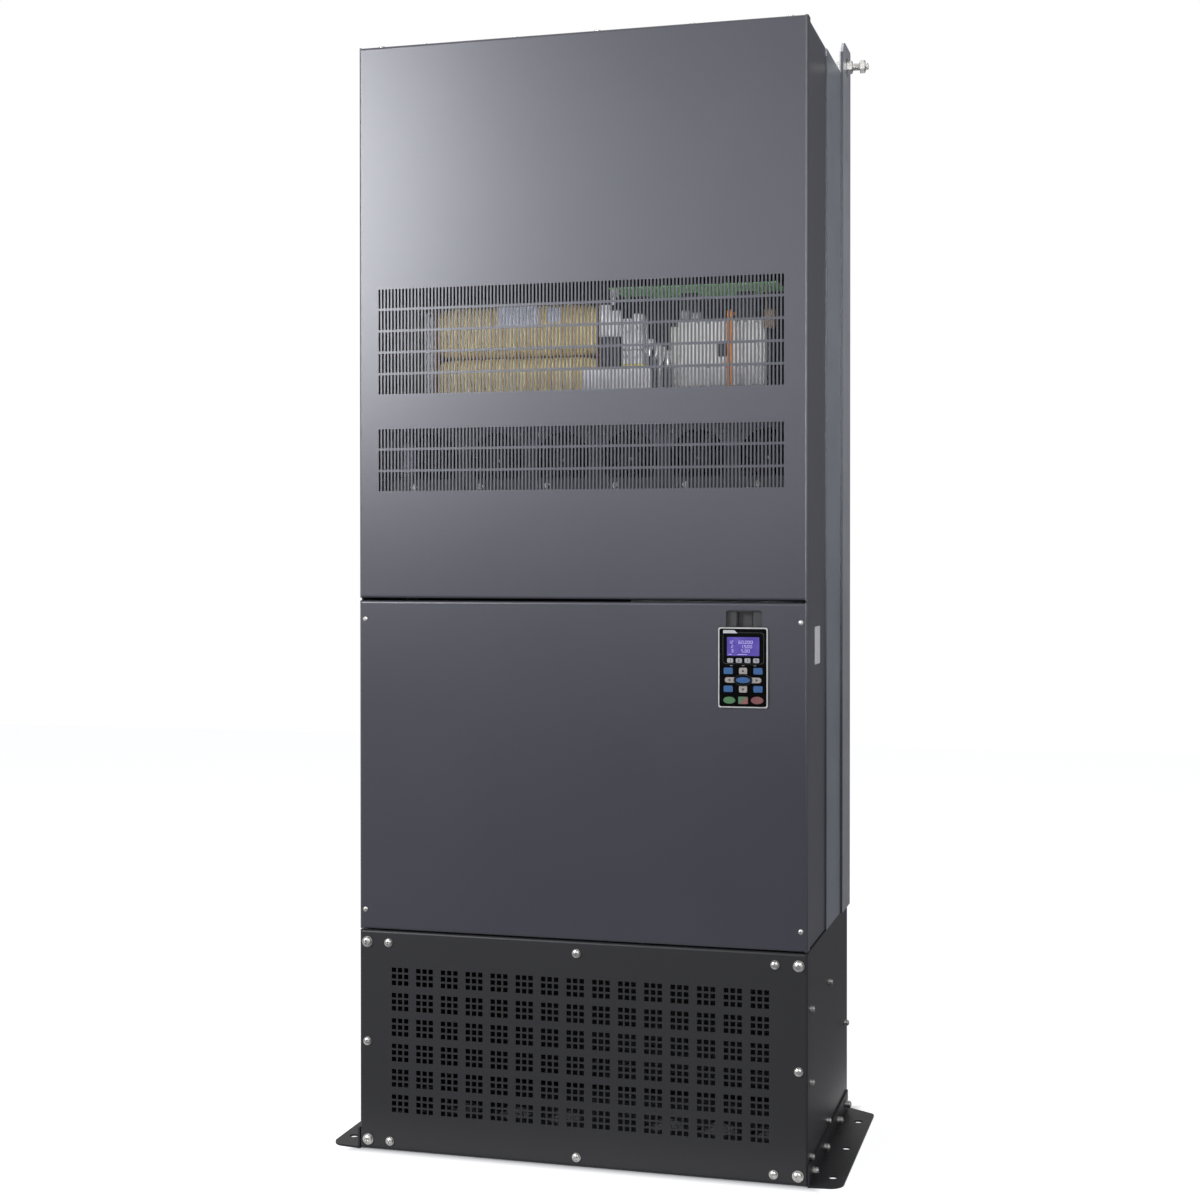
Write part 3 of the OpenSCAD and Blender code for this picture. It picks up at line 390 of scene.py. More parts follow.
def glass_tape(name, codes, band, rough):
    """Woven tape soaked in varnish: each lap's edge shows as a darker line."""
    material, place = start_material(name)
    laps = add_node(material, "ShaderNodeTexWave", {"Scale": WAVE_LENGTH / band, "Distortion": 0.8,
                                                   "Detail": 1.0, "Detail Scale": 3.0},
                    {"Vector": (place, "Object")}, bands_direction="X", wave_profile="SAW")
    weave = add_node(material, "ShaderNodeTexNoise", {"Scale": 1 / 0.0015, "Detail": 2.0},
                     {"Vector": (place, "Object")})
    blot = add_node(material, "ShaderNodeTexNoise", {"Scale": 1 / 0.03, "Detail": 3.0},
                    {"Vector": (place, "Object")})
    stains = add_node(material, "ShaderNodeMix", {"Factor": 0.5},
                      {"A": (laps, "Fac"), "B": (blot, "Fac")})
    tone = add_node(material, "ShaderNodeValToRGB", links={"Fac": (stains, "Result")})
    set_ramp(tone, [(0.25, codes[0]), (0.45, codes[1]), (0.75, codes[2])])
    bump = add_node(material, "ShaderNodeBump", {"Strength": 0.5, "Distance": 0.0002},
                    {"Height": (weave, "Fac")})
    shader = add_node(material, "ShaderNodeBsdfPrincipled", {"Roughness": rough},
                      {"Base Color": (tone, "Color"), "Normal": (bump, "Normal")})
    return close_material(material, shader)


def taped_coil(mesh, x0, x1, depth, z, deep, tall, band=19.0):
    """A loop with rounded corners, drawn along the coil one lap at a time."""
    middle = at(x0, depth, z)
    place = Matrix.Translation(middle) @ Matrix.Rotation(math.pi / 2, 4, "Y")
    made = bmesh.ops.create_circle(mesh, segments=4, radius=math.sqrt(0.5) / 1000,
                                   matrix=place @ Matrix.Rotation(math.pi / 4, 4, "Z"))
    loop = made["verts"]
    bmesh.ops.scale(mesh, vec=(1, deep, tall), space=Matrix.Translation(-middle), verts=loop)
    corner = 0.015
    cut = bmesh.ops.bevel(mesh, geom=loop, offset=corner, offset_type="OFFSET", segments=5,
                          profile=0.5, affect="VERTICES", material=-1)
    rounded = set(cut["verts"])
    loop = [v for v in mesh.verts if v in rounded]
    edges = list(dict.fromkeys(e for v in loop for e in v.link_edges))
    # The end is drawn in to 0.8. The winding swells over its first laps, and
    # draws in again at its other end.
    bmesh.ops.scale(mesh, vec=(1, 0.8, 0.8), space=Matrix.Translation(-middle), verts=loop)
    steps = [(3, 1.1), (5, 1.055), (8, 1.045), (11, 1.031)]
    plain = x1 - x0 - 2 * sum(length for length, _ in steps)
    laps = int(plain / band)
    step, rise = 0.4, 1.012
    for _ in range(laps):
        steps += [(step, rise), (band - step, 1 / rise)]
    steps += [(plain - laps * band + 11, 1 / 1.031), (8, 1 / 1.045), (5, 1 / 1.055), (3, 1 / 1.1)]
    x = x0
    for length, swell in steps:
        made = bmesh.ops.extrude_edge_only(mesh, edges=edges)["geom"]
        ring = [g for g in made if isinstance(g, bmesh.types.BMVert)]
        edges = [g for g in made if isinstance(g, bmesh.types.BMEdge)]
        bmesh.ops.translate(mesh, vec=(length / 1000, 0, 0), verts=ring)
        x += length
        bmesh.ops.scale(mesh, vec=(1, swell, swell),
                        space=Matrix.Translation(-at(x, depth, z)), verts=ring)
    bmesh.ops.holes_fill(mesh, edges=mesh.edges, sides=0)


coil_start, coil_end = (corner[0] * 1000 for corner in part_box("choke_coils"))
coil_heights = (1190, 1272)
# The lower coil's tape is painted lighter than the upper coil's: painted light against the shade it lies in.
painted_light_tape_codes = (("bf9a4a", "e2ca7a", "eddc9c"), ("bc994c", "d8bf70", "e2d08c"))
for k, (z, codes) in enumerate(zip(coil_heights, painted_light_tape_codes), 1):
    coil_mesh = bmesh.new()
    taped_coil(coil_mesh, coil_start + 2, coil_end - 2, 147, z, 83, 79)
    coil = make_piece("taped_coil_%d" % k, coil_mesh,
                      glass_tape("glass_tape_painted_light_%d" % k, codes, 0.019, 0.38),
                      stands_for=["choke_coils"])
collar_mesh = bmesh.new()
for x in (coil_start, coil_end - 3):
    for z in coil_heights:
        block(collar_mesh, (x, 104.5, z - 40.5), (x + 3, 189.5, z + 40.5), 10, 4, along=0)
make_piece("pressboard_collars", collar_mesh, moulded("brown_pressboard", "7d4f35", "8c5c3f", 0.7))
tag_mesh = bmesh.new()
block(tag_mesh, (-160, 104.2, 1279), (-93, 104.9, 1309), 1, 2, along=1)
block(tag_mesh, (-77, 104.2, 1283), (-58, 104.9, 1306), 1, 2, along=1)
make_piece("blank_coil_tags", tag_mesh, moulded("white_paper_tag", "c9cfe0", "dbe0ee", 0.5))


def laminations(name, dark, light, sheet, bracket, edge):
    """Stacked steel sheets with lacquer between them, and the zinc bracket in front."""
    material, place = start_material(name)
    stack = add_node(material, "ShaderNodeTexWave", {"Scale": WAVE_LENGTH / sheet, "Distortion": 0.3},
                     {"Vector": (place, "Object")}, bands_direction="Y", wave_profile="SAW")
    cloud = add_node(material, "ShaderNodeTexNoise", {"Scale": 60.0, "Detail": 4.0},
                     {"Vector": (place, "Object")})
    mixed = add_node(material, "ShaderNodeMix", {"Factor": 0.4}, {"A": (stack, "Fac"), "B": (cloud, "Fac")})
    tone = add_node(material, "ShaderNodeValToRGB", links={"Fac": (mixed, "Result")})
    set_ramp(tone, [(0.2, dark), (0.6, light)])
    zinc = add_node(material, "ShaderNodeValToRGB", links={"Fac": (cloud, "Fac")})
    set_ramp(zinc, [(0.3, bracket[0]), (0.7, bracket[1])])
    split = add_node(material, "ShaderNodeSeparateXYZ", links={0: (place, "Object")})
    ahead = add_node(material, "ShaderNodeMath", {1: edge}, {0: (split, "Y")}, operation="LESS_THAN")
    both = add_node(material, "ShaderNodeMix", data_type="RGBA",
                    links={"Factor": (ahead, "Value"), MIX_A: (tone, "Color"), MIX_B: (zinc, "Color")})
    shader = add_node(material, "ShaderNodeBsdfPrincipled", {"Metallic": 0.3, "Roughness": 0.45},
                      {"Base Color": (both, MIX_OUT)})
    return close_material(material, shader)


# Real laminations are 0.5 mm thick; 2 mm shows at this distance.
bracket_back = front + 0.122
paint(laminations("lacquered_core_laminations", "5c6470", "8d97a4", 0.002, ("d9dce2", "eceff4"),
                  bracket_back), "choke_core")

# ---------- Rectifier ----------
# A moulded cream module with a flat white front carries tinned bars, screws and
# a black current sensor. A dipped film capacitor hangs from the board beside it.

unit_left, unit_right = (corner[0] * 1000 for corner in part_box("rectifier_unit"))
cream = moulded("cream_glass_filled_polyester", "e6e2da", "f2f0ea", 0.42)
unit_mesh = bmesh.new()
block(unit_mesh, (unit_left, 134, 1180), (unit_right, 189.8, 1284), 2, 2)
block(unit_mesh, (unit_left - 13, 138, 1180), (unit_left - 1, 189.8, 1274), 1, 1)
make_piece("rectifier_blocks", unit_mesh, cream, stands_for=["rectifier_unit"])
panel_mesh = bmesh.new()
block(panel_mesh, (unit_left + 1, 131, 1182), (unit_right - 1, 134.4, 1282), 1.5, 2, along=1)
screw_pitch = 15
for i in range(7):
    x = unit_left + 28 + i * screw_pitch
    block(panel_mesh, (x, 130.2, 1252), (x + 9, 131.2, 1276), 0.4, 1)
    block(panel_mesh, (x, 130.2, 1188), (x + 9, 131.2, 1206), 0.4, 1)
make_piece("rectifier_front", panel_mesh, moulded("white_moulded_front", "e4e3e1", "f8f8f6", 0.38, 0.011))
bar_mesh = bmesh.new()
for x, tall in ((128, 14), (146, 11)):
    block(bar_mesh, (x, 132, 1284), (x + 16, 140, 1284 + tall), 1, 1)
for i in range(7):
    for z in (1278.5, 1210, 1180.5):
        turned(bar_mesh, at(unit_left + 32.5 + i * screw_pitch, 131.2, z), Vector((0, -1, 0)),
               [(2.6, 0), (2.6, 1.2), (2, 1.9), (0, 2.1)], 10)
make_piece("rectifier_screws", bar_mesh, plain_metal("tin_plated_bars", "8f8f92", "b5b5b8", 0.34, 0.85))
sensor_mesh = bmesh.new()
block(sensor_mesh, (189, 129, 1225), (204, 134, 1247), 1, 2)
make_piece("current_sensor", sensor_mesh, black_nylon)
film_mesh = bmesh.new()
block(film_mesh, (266, 96, 1262), (285, 116, 1291), 3, 3)
for x in (270, 281):
    turned(film_mesh, at(x, 106, 1290), Vector((0, 0, 1)), [(0.9, 0), (0.9, 35)], 8)
make_piece("film_capacitor", film_mesh, moulded("dipped_brown_epoxy", "8a7258", "a58c6c", 0.3))

# ---------- Charging relay ----------
# The relay that charges the capacitors sits on the choke's right bracket under
# white covers, beside a terminal strip on a yellow rail. The lugs of its cables
# are crimped from tinned copper.

relay_mesh = bmesh.new()
block(relay_mesh, (13, 86, 1211), (44, 119.2, 1300), 1.5, 2)
for z in (1216, 1226, 1236, 1246):
    block(relay_mesh, (15, 84.6, z), (42, 86.4, z + 4), 0.5, 1)
make_piece("charging_relay", relay_mesh, black_nylon)
cover_mesh = bmesh.new()
block(cover_mesh, (12, 81, 1255), (29, 90, 1304), 1.2, 2)
block(cover_mesh, (28, 82, 1255), (46, 90, 1295), 1.2, 2)
block(cover_mesh, (-17, 88, 1168), (93, 100, 1206), 2, 2)
block(cover_mesh, (10, 99, 1172), (22, 119.2, 1200), 0.6, 1)
make_piece("relay_cover", cover_mesh, moulded("white_polycarbonate", "e6e6e8", "f6f6f7", 0.3))
strip_mesh = bmesh.new()
for x, low, high in ((46, 1236, 1283), (63, 1236, 1290), (46, 1213, 1234), (63, 1213, 1234)):
    block(strip_mesh, (x, 90, low), (x + 15, 118, high), 1.2, 2)
    block(strip_mesh, (x + 3, 88.5, low + 4), (x + 12, 90.5, high - 5), 0.6, 1)
block(strip_mesh, (30, 117, 1214), (79, 119.2, 1284), 0.4, 1)
make_piece("terminal_strip", strip_mesh, moulded("white_polyamide", "dfdfe2", "f2f2f4", 0.4, 0.01))
rail_mesh = bmesh.new()
block(rail_mesh, (47, 89, 1208.5), (82, 118, 1213), 0.6, 1)
make_piece("terminal_rail", rail_mesh, moulded("yellow_fibre_sheet", "cdbb3c", "dccb52", 0.5))
lug_mesh = bmesh.new()
for x, z in ((53, 1262), (70, 1268), (53, 1224), (70, 1224)):
    turned(lug_mesh, at(x, 88.7, z), Vector((0, -1, 0)), [(3.6, 0), (3.6, 1.4), (2.6, 2.4), (0, 2.7)], 12)
for i in range(4):
    x, z = 85 + i * 9.5, 1238 - i * 6
    turned(lug_mesh, at(x, 106, z - 12), Vector((0.25, 0, 1)).normalized(),
           [(0, 0), (3.2, 0), (3.6, 1), (3.6, 15), (2.4, 17), (0, 17)], 14)
    block(lug_mesh, (x - 1.5, 104.6, z + 3), (x + 7.5, 106.6, z + 14), 0.6, 1)
    turned(lug_mesh, at(x + 3, 104.8, z + 9), Vector((0, -1, 0)), [(3, 0), (3, 2), (1.6, 3.4), (0, 3.5)], 12)
make_piece("crimped_cable_lugs", lug_mesh, plain_metal("tinned_crimp_lug", "c5c8ca", "efefef", 0.3, 0.8))

# ---------- Wires ----------
# Stiff insulated wires rise to the relay's lugs from below the grille. Three
# thick ones have a grey sleeve, and two thin ones a white sleeve.

wire_foot = 1120
up = Vector((0, 0, 1))
grey_wire_mesh = bmesh.new()
for x, length in ((94, 102), (112, 96), (119, 92)):
    turned(grey_wire_mesh, at(x, 107, wire_foot), up, [(3.4, 0), (3.4, length)], 12)
make_piece("relay_wires", grey_wire_mesh, moulded("grey_wire_sleeve", "707478", "7e8286", 0.5))
white_wire_mesh = bmesh.new()
for x, radius, length in ((103, 1.9, 123), (84.5, 1.6, 106)):
    turned(white_wire_mesh, at(x, 102, wire_foot), up,
           [(radius, 0), (radius, length), (0.8, length + 1)], 12)
make_piece("white_wires", white_wire_mesh, moulded("white_wire_sleeve", "d8d8d8", "e8e8e8", 0.45))

# ---------- Driver board ----------
# Fibreglass with a green solder mask, seen from below through the grille:
# fine copper tracks under the mask, rows of soldered pins, and dark parts on
# its upper side. Its green is painted paler than a mask's own and glows
# faintly: painted light, as though lit from below.


def solder_mask(name, dark, light, track, bodies=10.0, glow=0.0):
    """Board with tracks under the mask, and black parts above a height in metres."""
    material, place = start_material(name)
    tracks = add_node(material, "ShaderNodeTexBrick",
                      {"Scale": 1.0, "Mortar Size": track * 0.3, "Brick Width": track * 14,
                       "Row Height": track}, {"Vector": (place, "Object")})
    cloud = add_node(material, "ShaderNodeTexNoise", {"Scale": 45.0, "Detail": 3.0},
                     {"Vector": (place, "Object")})
    mixed = add_node(material, "ShaderNodeMix", {"Factor": 0.5},
                     {"A": (tracks, "Fac"), "B": (cloud, "Fac")})
    tone = add_node(material, "ShaderNodeValToRGB", links={"Fac": (mixed, "Result")})
    set_ramp(tone, [(0.2, dark), (0.7, light)])
    black = add_node(material, "ShaderNodeValToRGB", links={"Fac": (cloud, "Fac")})
    set_ramp(black, [(0.3, "26282b"), (0.7, "303236")])
    split = add_node(material, "ShaderNodeSeparateXYZ", links={0: (place, "Object")})
    above = add_node(material, "ShaderNodeMath", {1: bodies}, {0: (split, "Z")}, operation="GREATER_THAN")
    both = add_node(material, "ShaderNodeMix", data_type="RGBA",
                    links={"Factor": (above, "Value"), MIX_A: (tone, "Color"), MIX_B: (black, "Color")})
    bump = add_node(material, "ShaderNodeBump", {"Strength": 0.4, "Distance": 0.0001},
                    {"Height": (tracks, "Fac")})
    shader = add_node(material, "ShaderNodeBsdfPrincipled", {"Roughness": 0.32, "Emission Strength": glow},
                      {"Normal": (bump, "Normal"), "Base Color": (both, MIX_OUT),
                       "Emission Color": (both, MIX_OUT)})
    return close_material(material, shader)


# Real tracks are 0.3 to 1 mm wide; 2.5 mm shows at this distance.
track_pitch = 0.0025
board_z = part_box("driver_board")[0][2] * 1000
board_top = board_z / 1000 + 0.0018
# The driver board's pale green and faint glow are painted light.
paint(solder_mask("green_solder_mask", "94cf8f", "a6dca0", track_pitch, board_top, 0.09), "driver_board")
solder_mesh = bmesh.new()
for row in range(4):
    for column in range(18):
        turned(solder_mesh, at(44 + column * 13.6, 76 + row * 12, board_z + 0.05), Vector((0, 0, -1)),
               [(1.1, 0), (0.8, 0.5), (0.4, 0.9), (0, 1)], 6)
make_piece("soldered_pins", solder_mesh,
           plain_metal("tin_lead_solder", "b9bbbd", "dcdddf", 0.25, 0.9, 0.002))
clip_mesh = bmesh.new()
block(clip_mesh, (34, 63, board_z - 14), (46, 68, board_z - 0.02), 1, 1)
block(clip_mesh, (35, 66, board_z - 24), (43, 69, board_z - 10), 1, 1)
make_piece("board_clip", clip_mesh, moulded("natural_nylon_clip", "c2c4c6", "d2d4d6", 0.4))

# ---------- Supply leads ----------
# Two orange silicone leads rise in front of the rectifier and turn back to it
# below the driver board. They are held together by three moulded ties.

lead_mesh = bmesh.new()
for x, depth in ((208.6, 112), (213, 113)):
    turned(lead_mesh, at(x, depth, wire_foot), up, [(2.2, 0), (2.2, 172), (1.4, 174), (0, 174.5)], 12)
    turned(lead_mesh, at(x, depth, 1290.5), Vector((0, 1, 0)), [(0, 0), (2.2, 0), (2.2, 134.5 - depth)], 12)
for z in (1176, 1222, 1268):
    turned(lead_mesh, at(211, 112.5, z), up, [(3.4, 0), (3.7, 0.8), (3.7, 2.6), (3.4, 3.4)], 14)
make_piece("orange_lead_pair", lead_mesh, moulded("orange_silicone_lead", "e88a1c", "f59c30", 0.45),
                   stands_for=["supply_lead"])

# ---------- Control section ----------
# Behind the lower cover a zinc-plated tray carries the control board, which
# has a darker green mask than the driver board.

paint(galvanised_sheet("zinc_plated_tray_sheet", "a3a6a8", "b2b5b7", 0.012, 0.4), "control_tray")
paint(solder_mask("dark_green_solder_mask", "2f7a45", "3c8a52", track_pitch), "control_board")

# ---------- Fans ----------
# Six black moulded axial fans sit in a zinc-plated tray. Its plate is painted a
# darker grey than zinc along its top and near black below: painted shade. Each
# rotor has a small blackened button on its hub. A braided cable sleeve stands at the left end.

paint(moulded("black_fan_plastic", "141417", "1b1b1e", 0.5, specular=0.25), "fan_housings",
      *["fan_rotor_%d" % i for i in range(1, 7)])
# Below this height the tray is painted near black, and above it darker than zinc: painted shade.
painted_shade_top = 1.086
paint(wrapped_metal("zinc_plate_painted_shade", ("4c4f56", "575a61"), ("161618", "1e1e20"), painted_shade_top),
      "fan_tray")
hub_steel = plain_metal("blackened_hub_button", "6e7073", "83858a", 0.5, 0.6)
for i in range(1, 7):
    low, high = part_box("fan_rotor_%d" % i)
    hub_mesh = bmesh.new()
    turned(hub_mesh, Vector(((low[0] + high[0]) / 2, low[1] + 0.00005, (low[2] + high[2]) / 2)),
           Vector((0, -1, 0)), [(0, 1.1), (1.8, 1), (2.8, 0.5), (3.1, 0)], 20)
    make_piece("hub_button_%d" % i, hub_mesh, hub_steel, "fan_rotor_%d" % i)
sleeve_mesh = bmesh.new()
turned(sleeve_mesh, at(-297, 72, 1011.6), up,
       [(0, 0), (9.5, 0), (9.5, 78), (8, 83), (4, 86), (0, 87)], 24)
make_piece("cable_sleeve", sleeve_mesh,
           moulded("grey_braided_sleeve", "7d8492", "8d94a2", 0.55, 0.003, 0.0002))

# ---------- Keypad ----------
# The keypad is a white moulded housing with a black printed overlay. It plugs
# into a black nylon well behind the lower cover.

paint(black_nylon, "keypad_holder")
paint(moulded("white_keypad_housing", "a8a8a5", "b4b4b1", 0.35), "keypad_case")
paint(moulded("black_keypad_overlay", "040404", "070708", 0.4, specular=0.03), "keypad_face")
face_low, face_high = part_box("keypad_face")
face_depth = (face_low[1] - front) * 1000
mid_x = (face_low[0] + face_high[0]) * 500
mid_z = (face_low[2] + face_high[2]) * 500

# ---------- Display ----------
# A blue backlit liquid crystal panel under a clear window. It shows three rows
# of a row number and a value, in bars 0.04 mm proud, and two underlines.


def lit_display(name, dark, light, glow):
    """Liquid crystal under a window: a faint dot grid over an uneven backlight."""
    material, place = start_material(name)
    dots = add_node(material, "ShaderNodeTexVoronoi", {"Scale": 1 / 0.0009, "Randomness": 0.0},
                    {"Vector": (place, "Object")})
    cloud = add_node(material, "ShaderNodeTexNoise", {"Scale": 55.0, "Detail": 2.0},
                     {"Vector": (place, "Object")})
    mixed = add_node(material, "ShaderNodeMix", {"Factor": 0.7},
                     {"A": (dots, "Distance"), "B": (cloud, "Fac")})
    tone = add_node(material, "ShaderNodeValToRGB", links={"Fac": (mixed, "Result")})
    set_ramp(tone, [(0.25, dark), (0.7, light)])
    shader = add_node(material, "ShaderNodeBsdfPrincipled", {"Roughness": 0.12, "Emission Strength": glow},
                      {"Base Color": (tone, "Color"), "Emission Color": (tone, "Color")})
    return close_material(material, shader)


paint(lit_display("backlit_liquid_crystal", "423782", "584c98", 0.12), "keypad_display")
window_depth = (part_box("keypad_display")[0][1] - front) * 1000

# Each bar's left, lower, right and upper edge, as parts of a digit's height.
BARS = {"a": (0.1, 0.9, 0.46, 1), "b": (0.46, 0.54, 0.56, 0.96), "c": (0.46, 0.04, 0.56, 0.46),
        "d": (0.1, 0, 0.46, 0.1), "e": (0, 0.04, 0.1, 0.46), "f": (0, 0.54, 0.1, 0.96),
        "g": (0.1, 0.45, 0.46, 0.55)}
DIGITS = {"0": "abcdef", "1": "bc", "2": "abged", "3": "abgcd", "4": "fgbc", "5": "afgcd", "6": "afgedc"}


def number(mesh, text, x, z, tall, depth, thick=0.04, wide=1.0, bold=0.0):
    """A number from seven bars a digit, its lower left corner at x, z."""
    for sign in text:
        if sign == ".":
            block(mesh, (x, depth - thick, z), (x + 0.14 * tall, depth, z + 0.14 * tall))
            x += 0.28 * tall
            continue
        for bar in DIGITS[sign]:
            left, low, right, high = (tall * part for part in BARS[bar])
            block(mesh, (x + left * wide - bold, depth - thick, z + low - bold),
                  (x + right * wide + bold, depth, z + high + bold))
        x += 0.74 * tall * wide


digit_mesh = bmesh.new()
digit_tall = 4.3
top_row, row_pitch = mid_z + 35.15, 6.4
rows = (("12", -21.8, "60.000", -6.4), ("2", -17.6, "1.500", -3.4), ("3", -17.6, "5.00", -2.6))
for row, (line, line_x, value, value_x) in enumerate(rows):
    z = top_row - row * row_pitch
    number(digit_mesh, line, mid_x + line_x, z, digit_tall, window_depth, wide=1.25)
    number(digit_mesh, value, mid_x + value_x, z, digit_tall, window_depth, wide=1.3)
for x, length in ((-21.5, 5), (-8, 14)):
    block(digit_mesh, (mid_x + x, window_depth - 0.04, mid_z + 19),
          (mid_x + x + length, window_depth, mid_z + 19.6))
make_piece("display_numbers", digit_mesh, moulded("pale_display_segment", "b9aee0", "cbc2ec", 0.4), "keypad")

# ---------- Keypad overlay ----------
# The overlay laps onto the housing all round. It is printed with two outlines
# and carries a blank foil badge and three smoked lamp lenses.


def ring_print(mesh, middle, width, height, corner, line, thick=0.03, oval=False):
    """A printed outline: an oval, or a rectangle with rounded corners."""
    place = Matrix.Translation(middle) @ Matrix.Rotation(math.pi / 2, 4, "X")
    if oval:
        loop = bmesh.ops.create_circle(mesh, segments=48, radius=0.5 / 1000, matrix=place)["verts"]
    else:
        turn = place @ Matrix.Rotation(math.pi / 4, 4, "Z")
        loop = bmesh.ops.create_circle(mesh, segments=4, radius=math.sqrt(0.5) / 1000, matrix=turn)["verts"]
    bmesh.ops.scale(mesh, vec=(width, 1, height), space=Matrix.Translation(-middle), verts=loop)
    if not oval:
        cut = bmesh.ops.bevel(mesh, geom=loop, offset=corner / 1000, offset_type="OFFSET", segments=5,
                              profile=0.5, affect="VERTICES", material=-1)
        loop = list(cut["verts"])
    edges = list(dict.fromkeys(e for v in loop for e in v.link_edges))
    made = bmesh.ops.extrude_edge_only(mesh, edges=edges)["geom"]
    inner = [g for g in made if isinstance(g, bmesh.types.BMVert)]
    bmesh.ops.scale(mesh, vec=(1 - 2 * line / width, 1, 1 - 2 * line / height),
                    space=Matrix.Translation(-middle), verts=inner)
    faces = [g for g in made if isinstance(g, bmesh.types.BMFace)]
    raised = bmesh.ops.extrude_face_region(mesh, geom=faces)["geom"]
    bmesh.ops.translate(mesh, vec=(0, -thick / 1000, 0),
                        verts=[g for g in raised if isinstance(g, bmesh.types.BMVert)])


rim_depth = (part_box("keypad_case")[0][1] - front) * 1000
lap = 1.4
rim_mesh = bmesh.new()
ring_print(rim_mesh, at(mid_x, rim_depth, mid_z), (face_high[0] - face_low[0]) * 1000 + lap,
           (face_high[2] - face_low[2]) * 1000 + lap, 3, 0.9)
make_piece("overlay_rim", rim_mesh,
           moulded("black_overlay_edge", "050505", "090909", 0.4, specular=0.03), "keypad")
print_mesh = bmesh.new()
ring_print(print_mesh, at(mid_x + 0.25, face_depth, mid_z - 18.15), 26, 16, 0, 0.3, oval=True)
ring_print(print_mesh, at(mid_x + 0.5, face_depth, mid_z + 28.4), 61, 45.6, 4, 0.3)
make_piece("face_outlines", print_mesh, moulded("dark_grey_face_print", "3c403d", "474b48", 0.5), "keypad")
badge_mesh = bmesh.new()
foil_depth = face_depth - 0.08
block(badge_mesh, (mid_x - 29.6, foil_depth, mid_z + 50.2), (mid_x - 8, face_depth, mid_z + 54.8))
slant = [v for v in badge_mesh.verts if v.co.x > at(mid_x - 9, 0, 0).x and v.co.z > at(0, 0, mid_z + 54).z]
bmesh.ops.translate(badge_mesh, vec=(-0.005, 0, 0), verts=slant)
make_piece("blank_badge_foil", badge_mesh,
           plain_metal("brushed_badge_foil", "a9aaac", "c3c4c6", 0.35, 0.8, 0.001), "keypad")
lens_mesh = bmesh.new()
for x in (-17.3, 0.3, 17.8):
    block(lens_mesh, (mid_x + x - 1.9, foil_depth, mid_z + 2.5),
          (mid_x + x + 1.9, face_depth, mid_z + 3.5), 0.04, 1)
make_piece("status_lamp_lenses", lens_mesh, moulded("smoked_lens", "6a6c6a", "7c7e7c", 0.3), "keypad")

# ---------- Keys ----------
# The keys are moulded silicone rubber with a matt skin. Their arrows and
# numbers are printed, and the key between start and stop is two-coloured.

paint(moulded("grey_key_rubber", "85878a", "929497", 0.5), "key_f1", "key_f2", "key_f3", "key_f4")
paint(moulded("blue_key_rubber", "1a4878", "225384", 0.45), "key_escape", "key_menu", "key_local",
      "key_jog", "key_enter")
paint(moulded("beige_key_rubber", "87817c", "938d88", 0.5), "key_up", "key_down", "key_left", "key_right")
paint(moulded("green_key_rubber", "38633c", "437145", 0.45), "key_run")
paint(moulded("red_key_rubber", "65393a", "73433f", 0.45), "key_stop")


def two_shot_rubber(name, green, red, middle):
    """Two rubbers moulded in one key, parted along its diagonal."""
    material, place = start_material(name)
    centred = add_node(material, "ShaderNodeVectorMath", {1: middle}, {0: (place, "Object")},
                       operation="SUBTRACT")
    split = add_node(material, "ShaderNodeSeparateXYZ", links={0: (centred, "Vector")})
    lean = add_node(material, "ShaderNodeMath", links={0: (split, "X"), 1: (split, "Z")},
                    operation="SUBTRACT")
    side = add_node(material, "ShaderNodeMapRange", {"From Min": -0.0002, "From Max": 0.0002},
                    {"Value": (lean, "Value")})
    skin = add_node(material, "ShaderNodeTexNoise", {"Scale": 400.0, "Detail": 1.0},
                    {"Vector": (place, "Object")})
    first = add_node(material, "ShaderNodeValToRGB", links={"Fac": (skin, "Fac")})
    set_ramp(first, [(0.3, green[0]), (0.7, green[1])])
    second = add_node(material, "ShaderNodeValToRGB", links={"Fac": (skin, "Fac")})
    set_ramp(second, [(0.3, red[0]), (0.7, red[1])])
    tone = add_node(material, "ShaderNodeMix", data_type="RGBA",
                    links={"Factor": (side, "Result"), MIX_A: (first, "Color"), MIX_B: (second, "Color")})
    shader = add_node(material, "ShaderNodeBsdfPrincipled", {"Roughness": 0.48},
                      {"Base Color": (tone, MIX_OUT)})
    return close_material(material, shader)


low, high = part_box("key_direction")
paint(two_shot_rubber("two_shot_key_rubber", ("3d5c42", "486b4c"), ("6d4440", "7c504a"),
                      [(a + b) / 2 for a, b in zip(low, high)]), "key_direction")
key_ink = moulded("black_key_print", "1b1c1e", "26272a", 0.5)
for node, turn in (("key_left", 0), ("key_up", 1), ("key_right", 2), ("key_down", 3)):
    low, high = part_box(node)
    arrow_mesh = bmesh.new()
    middle = Vector(((low[0] + high[0]) / 2, low[1] - 0.00001, (low[2] + high[2]) / 2))
    place = (Matrix.Translation(middle) @ Matrix.Rotation(turn * math.pi / 2, 4, "Y")
             @ Matrix.Rotation(math.pi / 2, 4, "X") @ Matrix.Rotation(math.pi / 2, 4, "Z"))
    bmesh.ops.create_cone(arrow_mesh, cap_ends=True, segments=3, radius1=0.0026, radius2=0.0026,
                          depth=0.00006, matrix=place)
    make_piece("arrow_on_" + node, arrow_mesh, key_ink, node)
for k in range(1, 5):
    low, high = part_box("key_f%d" % k)
    number_mesh = bmesh.new()
    number(number_mesh, str(k), (low[0] + high[0]) * 500 - 1.1, (low[2] + high[2]) * 500 - 1.8, 3.6,
           (low[1] - front) * 1000, 0.03, bold=0.2)
    make_piece("number_on_key_f%d" % k, number_mesh, key_ink, "key_f%d" % k)

# ---------- Studio ----------
# Four soft boxes and two narrow lamps light the object at a plain level, on a
# pale paper floor before a white background.

scene.view_settings.view_transform = "Standard"

